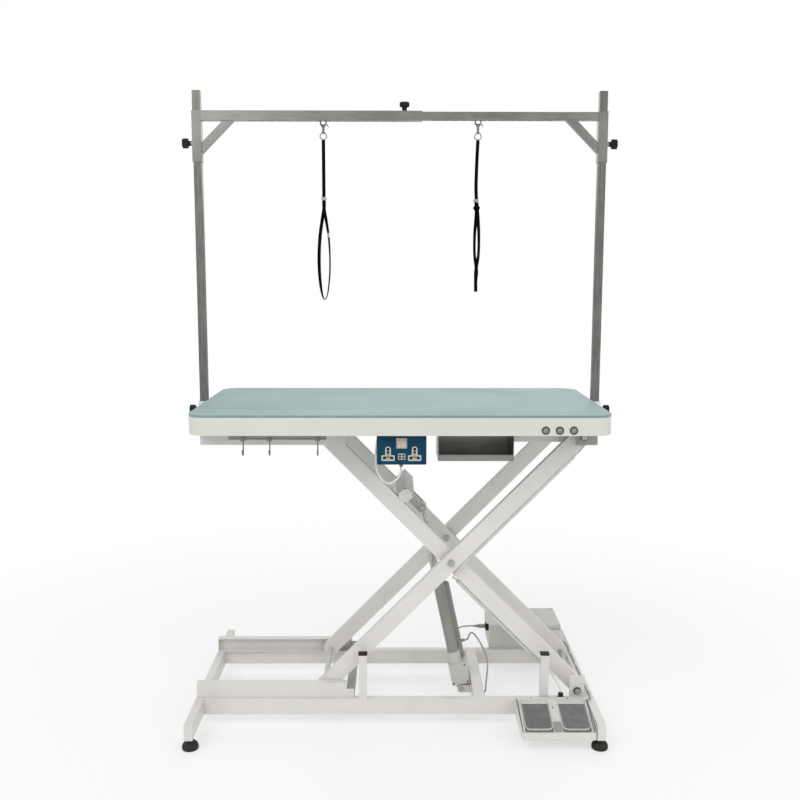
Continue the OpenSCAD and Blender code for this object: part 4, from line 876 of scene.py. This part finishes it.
plate = slab("outlet_plate", (-73, 73), (862, 948), (-8, 0), 4)
for x in OUTLETS.values():
    cut(plate, block("plate_cut", 38.4, 16.4, (-9, 1), 2, x, OUTLET_Z - 13))
    cut(plate, block("plate_cut", 15.8, 36.2, (-9, 1), 7.8, x, OUTLET_Z + 3.1))
cut(plate, block("plate_cut", 20.4, 17.4, (-9, 1), 1.2, -0.1, USB_Z))
cut(plate, block("plate_cut", 30, 29, (-9, 1), 0.6, 0, SWITCH_Z))
ready(plate, TEAL, "table", ease=0.7, place=FACE)
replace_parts(plate, "socket_box")
for word, x in OUTLETS.items():
    outlet("outlet_" + word, FACE @ at(x, OUTLET_Z, 0))

usb = block("usb_pair", 21, 18, (-6, 0.6), 1.6)
for x in (-PORT_X, PORT_X):
    for y in (-PORT_Y, PORT_Y):
        cut(usb, block("usb_slot", 6.8, 6.2, (-5, 2), 0.4, x, y))
ready(usb, OUTLET, None, ease=0.25, degrees=30)
tint(usb, HOLE, lambda c, n: (-5.5 < c.z < -0.1 and abs(abs(c.x) - PORT_X) < 3.45
                              and abs(abs(c.y) - PORT_Y) < 3.15))
placed(usb, FACE @ at(-0.1, USB_Z, 0), "table")

surround = block("rocker_frame", 31.8, 30.6, (-6, 1), 1.4)
cut(surround, block("frame_cut", 29.6, 28.6, (-7, 2), 0.5))
ready(surround, OUTLET, "table", ease=0.5, place=SWITCH, degrees=30)
ready(block("rocker_divider", 0.3, 25, (-6, -1.6)), LENS, "table", place=SWITCH)
for word, x in (("left", -2.5), ("right", 11.5)):
    eased("rocker_" + word, "rocker_" + word, ROCKER, 0.7)
    mark = block("rocker_%s_mark" % word, 4.2, 3, (-0.35, 0.12), 0.9)
    ready(mark, HOLE, "rocker_" + word, place=at(x, -301.1, 935.2, rx=87))

back = slab("outlet_back_box", (-64.5, 73.5), (-294, -262), (866, 944), 3)
ready(back, TEAL, "table", ease=1.2)
hanger = slab("outlet_hanger", (-70.5, 74.5), (-318, -242), (950, 952), 3)
ready(hanger, DARK, None, ease=0.5)
legs = [ready(slab("outlet_hanger_leg", (x, x + 10), (-294, -262), (943.9, 950.1)), DARK, ease=0.4)
        for x in (-45.5, 44.5)]
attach(joined("outlet_hanger", hanger, *legs), "table")
ribs = [(4.9 + 2.1 * t / 10 + (0.35 if t % 2 else -0.35), 852 + 1.15 * t) for t in range(11)]
relief = turned("outlet_strain_relief", [(0, 852), (3.6, 852)] + ribs + [(7, 864.2), (7, 866), (0, 866)], 32)
ready(relief, GREY_PVC, "table", place=at(3, -282, 0), degrees=40)

# Tool tray: folded stainless sheet with a hem along its front lip
eased("tool_tray", "table", LENGTHWISE, 0.45)
hem = drawn_tube("tray_hem", [Vector((x / 1000, -0.3171, 0.8937)) for x in (111.6, 222, 332.4)], 0.0022)
dressed(hem, LENGTHWISE, "table")

# Control box: a coated sheet shell and lid, its inlet for the plug, a gland and its screws
LID_TOP = 173
GLAND_X, GLAND_Y = 472, 345
shell = eased("control_box", "base", BOX, 2)
tint(shell, BLACK, lambda c, n: c.x < 321.95 and c.z > 120)
lid = eased("control_box_cover", "base", BOX, 1.3)
tint(lid, BLACK, lambda c, n: c.z > LID_TOP + 0.02 and math.hypot(c.x - GLAND_X, c.y - GLAND_Y) < 8)
for node, material in (("control_board", BOARD), ("lead_screw", ZINC)):
    nodes[node].data.materials.clear()
    nodes[node].data.materials.append(material)
nut = ready(from_outline("lid_gland", hexagon(16), 3.4), BLACK, None, ease=0.6)
dome = turned("gland_dome", [
    (0, 3.4), (7.4, 3.4), (7.4, 4.6), (6.7, 6.6), (5, 8.3), (3.4, 9.1), (0, 9.1)], 32)
gland = joined("lid_gland", nut, ready(dome, BLACK, degrees=40))
placed(gland, at(GLAND_X, GLAND_Y, LID_TOP), "base")
collar = turned("inlet_collar", [
    (7.8, 0), (11.2, 0), (11.2, 1.6), (10.4, 2.4), (8.6, 2.4), (7.8, 1.6), (7.8, 0)])
ready(collar, BLACK, "base", place=at(313, 235, 158, ry=-90), degrees=30)
numbered(pan_screw("lid_screw", 7.2, 2.2, ZINC), "base", [
    at(x, y, LID_TOP) for x, y in ((331, 210), (569, 210), (331, 366), (569, 366), (450, 210))])

# Foot control: housing, two treadles, the console's cover, whose grey is painted shade, screws and the tray
PEDAL_LEAN = 12.4
CONSOLE_LEAN = 15.4
eased("pedal_case", "base", SHELL, 1.6)
painted("pedal_tray", "base", 0.7)


def treadle(word, x):
    """A foot treadle: a light body with rounded front corners, a ribbed grey pad and a hinge barrel."""
    name = "treadle_" + word
    body = from_outline(name, rounded(oblong(0.5, 83.5, -122, -2), [15, 15, 1.5, 1.5]), 6.2, -3.5)
    ready(body, SHELL, None, ease=1.4)
    pad = from_outline(name + "_pad", rounded(oblong(2.6, 81.4, -119.4, -5), [13, 13, 1.5, 1.5]), 1.5, 2.5)
    ready(pad, TREAD, ease=0.6)
    barrel = turned(name + "_barrel", [
        (0, 0.5), (3.9, 0.5), (4.5, 1.1), (4.5, 82.9), (3.9, 83.5), (0, 83.5)], 28)
    ready(barrel, SHELL, place=at(0, 0, 0, ry=90), degrees=30)
    placed(joined(name, body, pad, barrel), at(x, -240, 88, rx=PEDAL_LEAN), "pedal_" + word)
    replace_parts(body, "pedal_" + word)


treadle("left", 378)
treadle("right", 492)
# The cover's mid grey is painted shade over the console's front.
cover = slab("console_cover", (-12.6, 12.6), (-25, 20), (-0.6, 0.9), 5)
ready(cover, PAINTED_SHADE_GREY, "base", ease=0.5, place=at(477, -343, 65.4, rx=CONSOLE_LEAN))
lamp = turned("console_lamp", [(0, 1.5), (1.4, 1.3), (2.1, 0.7), (2.3, 0), (2.3, -0.8), (0, -0.8)], 24)
ready(lamp, HOLE, "base", place=at(474, -264, 87.2, rx=CONSOLE_LEAN), degrees=50)
numbered(pan_screw("housing_screw", 5.2, 1.5, NYLON), "base", [at(x, -225.5, 100) for x in (413, 526)])

# Pedal cable, held to the rail's end by saddles
pedal_lead = drawn_tube("pedal_lead", curved((
    (578.1, 240, 104), (586, 240, 104), (594, 236, 98), (601, 226, 94), (604, 210, 93), (604, 194, 93),
    (604, 176, 91.5), (604, 120, 91), (604, 60, 91), (604, 0, 91), (604, -60, 91), (604, -120, 91),
    (604, -176, 91), (603, -196, 92.5), (600, -212, 94), (594, -222, 94.5), (590, -226, 94.5),
    (583.1, -226, 94.5))), 0.005)
dressed(pedal_lead, GREY_PVC, "base")
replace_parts(pedal_lead, "pedal_cable")
saddle = ready(block("cable_saddle", 5.8, 8, (0, 5.9), 1.2), WHITE_PVC, None, ease=0.9)
flange = ready(slab("cable_saddle_foot", (2.9, 11), (-4, 4), (0, 1.1), 1.5), WHITE_PVC, ease=0.3)
numbered(joined("cable_saddle", saddle, flange), "base", [
    at(604, y, RAIL_TOP) for y in (150, 50, -50, -150)])

# Moulded caps on the two rest posts, with a small brim
brim = block("post_cap", 28.4, 28.4, (POST_TOP, POST_TOP + 3.8), 3)
ready(brim, PLUG, None, ease=1)
copies(brim, "base", {"post_cap_left": at(-116, -195.5, 0), "post_cap_right": at(457, -195.5, 0)})

# Rubber gland where the lead from the arm goes into the rail
entry = turned("lead_gland", [
    (0, 0), (9.4, 0), (9.4, 3), (7.8, 4.2), (7.8, 8.6), (8.8, 9.8), (8.8, 12.6), (6.4, 15.6), (4, 18.2),
    (0, 18.2)])
ready(entry, RUBBER, "base", place=at(510.5, -196, RAIL_TOP), degrees=30)

# Actuator: cast gear case with its tube, motor and rod
case = eased("actuator_case", "actuator", CAST, 2.6, 4)
tint(case, TUBE, lambda c, n: c.z > 128.5, ACTUATOR)
tint(case, BLACK, lambda c, n: c.y > 57.2 and c.z < 90, ACTUATOR)
eased("actuator_motor", "actuator", TUBE, 1.2)
eased("actuator_rod", "rod", ROD, 0.8)
numbered(pan_screw("case_screw", 6, 2, DARK), "actuator", [
    ACTUATOR @ at(x, -27, z, rx=90) for x, z in ((28, 25), (28, 83), (-19, 25))])


# Pivots: socket head bolts at the middle, washers and nuts at the hinges, plugs in the cross tube
def both_ends(pattern, body, reach, place):
    """Copies of a finished piece, facing outwards at the front and at the rear of a place."""
    copies(pattern, body, {"%s_%s" % (pattern.name, end): place @ at(0, side * reach, 0, rx=-side * 90)
                           for end, side in ENDS})


head = turned("middle_bolt", [
    (0, 3.4), (4.2, 3.4), (4.6, 7.2), (9.2, 7.3), (10.6, 5.6), (10.75, 0), (0, 0)], 44)
both_ends(ready(head, ZINC, None, degrees=30), "outer_arms", 168, MIDDLE)
both_ends(hex_nut("hinge_nut", 17, 5.6, 10), "base", 200, at(HINGE_X, 0, LOW_PIVOT))
both_ends(hex_nut("table_nut", 17, 5.6, 10), "table", 200, at(HINGE_X, 0, HIGH_PIVOT))
plug = slab("cross_tube_plug", (802.4, 841.6), (-64.6, -25.4), (0, 2.4), 13)
ready(plug, SHELL, None, ease=0.8)
copies(plug, "inner_arms", {
    "cross_tube_plug_" + end: INNER_ARMS @ Matrix.Diagonal((1, -side, 1, 1)) @ at(0, -139, 0, rx=90)
    for end, side in ENDS})

# Restraints: for each, its place along the bar, its bow's height, its route, its turns and how it is laid
LOOPS = {
    "left": (-243, 1894.3, [
        (0, -2, 1838.7), (0, -2, 1760), (0, -2, 1690), (0, -2, 1630), (6, -1.6, 1592), (13, -0.8, 1545),
        (17, 0, 1490), (17, 0, 1430), (13, 0, 1380), (7, 0, 1347), (0, 0, 1337), (-7, 0, 1347),
        (-13, 0, 1380), (-17, 0, 1430), (-17, 0, 1490), (-13, 0.8, 1545), (-6, 1.6, 1592), (0, 2, 1630),
        (0, 2, 1656)],
        [0, 0, 0, 8, 30, 55, 66, 68, 72, 80, 86, 74, 50, 22, 8, 0, 0, 0, 0], False),
    "right": (247, 1896.8, [
        (0, -2.2, 1838.7), (-3, -2.2, 1760), (-4, -2.2, 1680), (2, -2.2, 1610), (6.5, -2.2, 1545),
        (6, -2.6, 1480), (-1.5, -3.2, 1430), (-2, -4.6, 1398), (-1.5, -3.8, 1374), (-1, 0, 1363),
        (-1, 3.8, 1374), (-1, 4.6, 1398), (1, 3.2, 1430), (-6, 2.4, 1480), (-6.5, 2.2, 1545),
        (-2, 2.2, 1610), (-4, 2.2, 1656)],
        [0, 0, 0, 0, 42, 48, 15, 0, 0, 0, 0, 0, -15, -48, -42, 0, 0], True)}


def snap_hook(name, bow_z):
    """A trigger hook whose bow goes through the bar's slots, with its swivel and the ring for the strap."""
    low = bow_z - 11
    bow = ring("hook_bow", bow_z, 9, 4)
    post = turned("swivel_post", [
        (0, 1858.5), (2.6, 1858.5), (4.2, 1860), (4.9, 1863), (4.9, 1866), (3, 1867.5), (3, 1869),
        (4, 1870.5), (4, low - 4), (5.2, low - 1), (4.4, low + 1.6), (0, low + 1.6)], 32)
    eye = ring("swivel_ring", 1851, 10.5, 3)
    arms = [drawn_tube("hook_arm", curved([
        (0, 0, low - 6), (side * 4.5, 0, low - 2.5), (side * 8.6, 0, low + 4), (side * 9.4, 0, low + 9)]),
        0.0032) for side in (-1, 1)]
    lever = drawn_tube("hook_lever", curved([
        (8.5, 0, low + 5), (12, 0, low + 2.5), (14.5, 0, low - 1), (15.8, 0, low - 5)]), 0.003)
    return joined(name, *[ready(piece, HOOK, None, degrees=45)
                          for piece in (bow, post, eye, *arms, lever)])


for word, (x, bow_z, route, turn, level) in LOOPS.items():
    loop = "loop_" + word
    route = [(x + across, MAST_Y + deep, height) for across, deep, height in route]
    strap = dressed(webbing("restraint_strap_" + word, route, 11, 2.6, turn, level), WEB, loop)
    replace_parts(strap, loop)
    placed(snap_hook("restraint_hook_" + word, bow_z), at(x, MAST_Y, 0), loop)

# Sliders that set the loops' length, and a clip on the left strap
slider = block("strap_slider", 17.2, 10, (-4.6, 3.6), 2.2)
cut(slider, block("slider_cut", 12.2, 18, (-3.2, 3.2)))
ready(slider, CHROME, None, ease=0.6)
another(slider, "strap_slider_right", at(243, MAST_Y, 1651, rx=90), "loop_right")
copies(slider, "loop_left", {"strap_slider_left": at(-243, MAST_Y, 1657, rx=90)})
clip = block("strap_clip_left", 7.2, 14, (-6.2, 6.2), 1.2)
ready(clip, CHROME, "loop_left", ease=0.8, place=at(-229.8, 44.2, 1541, rx=90))

# The knot that shortens the right strap, a trefoil
trefoil = [Vector((245.5 + 2.5 * (math.sin(t) + 2 * math.sin(2 * t)), MAST_Y - 3.4 * math.sin(3 * t),
                   1626 + 2.9 * (math.cos(t) - 2 * math.cos(2 * t)))) / 1000 for t in around(60)]
dressed(drawn_tube("strap_knot_right", trefoil, 0.0078), WEB, "loop_right")


# Room: a pale floor that turns to plain white further out, soft light from the front and above
def seen_by(tree, kind):
    """1 for the camera's rays and those of one other kind, 0 for the rest."""
    ray = put(tree, "LightPath").outputs
    return put(tree, "Math", {0: ray["Is Camera Ray"], 1: ray[kind]}, operation="MAXIMUM").outputs[0]


def studio_floor():
    """A wide floor that shows soft shadows near the table and, far out, only white."""
    bpy.ops.mesh.primitive_circle_add(vertices=96, radius=9, fill_type="NGON", location=(0, 0, 0))
    floor = bpy.context.view_layer.objects.active
    floor.name = "studio_floor"
    material, tree, shader = surface("studio_floor_white", "#FAFAF9", 0.9)
    far = put(tree, "VectorMath", {0: own_place(tree)}, operation="LENGTH")
    fade = put(tree, "MapRange", {"Value": far.outputs[1], "From Min": 1.1, "From Max": 2.4})
    lifted = put(tree, "MapRange", {"Value": fade.outputs[0], "To Min": 0.55}).outputs[0]
    share = put(tree, "Math", {0: lifted, 1: seen_by(tree, "Is Glossy Ray")}, operation="MULTIPLY")
    white = put(tree, "Emission", {"Color": (1, 1, 1, 1), "Strength": 1.0}).outputs[0]
    mixed = put(tree, "MixShader", {0: share.outputs[0], 1: shader.outputs[0], 2: white})
    tree.links.new(mixed.outputs[0], tree.nodes["Material Output"].inputs["Surface"])
    floor.data.materials.append(material)


def surroundings():
    """Plain white where the camera looks past the table, and a softer, cooler light for the rest."""
    world = bpy.data.worlds.new("studio")
    bpy.context.scene.world = world
    world.use_nodes = True
    tree = world.node_tree
    tree.nodes.clear()
    plain = put(tree, "Background", {"Color": (1, 1, 1, 1), "Strength": 1.0})
    soft = put(tree, "Background", {"Color": (0.97, 0.98, 1, 1), "Strength": 0.66})
    seen = seen_by(tree, "Is Transmission Ray")
    mixed = put(tree, "MixShader", {0: seen, 1: soft.outputs[0], 2: plain.outputs[0]})
    put(tree, "OutputWorld", {"Surface": mixed.outputs[0]})


def area_lamp(name, place, aim, size, power):
    """A square lamp at a place, turned towards its aim, all in metres and watts."""
    data = bpy.data.lights.new(name, "AREA")
    data.size = size
    data.energy = power
    lamp = bpy.data.objects.new(name, data)
    lamp.location = place
    lamp.rotation_euler = (Vector(place) - Vector(aim)).to_track_quat("Z", "Y").to_euler()
    bpy.context.collection.objects.link(lamp)


studio_floor()
surroundings()
area_lamp("key", (-1.9, -2.6, 3.4), (0, 0, 0.8), 2.6, 52)
area_lamp("fill", (2.6, -2.4, 2.2), (0, 0, 0.7), 2.4, 26)
area_lamp("back", (0.4, 3, 3), (0, 0, 0.9), 2.6, 30)
bpy.context.scene.view_settings.view_transform = "Standard"
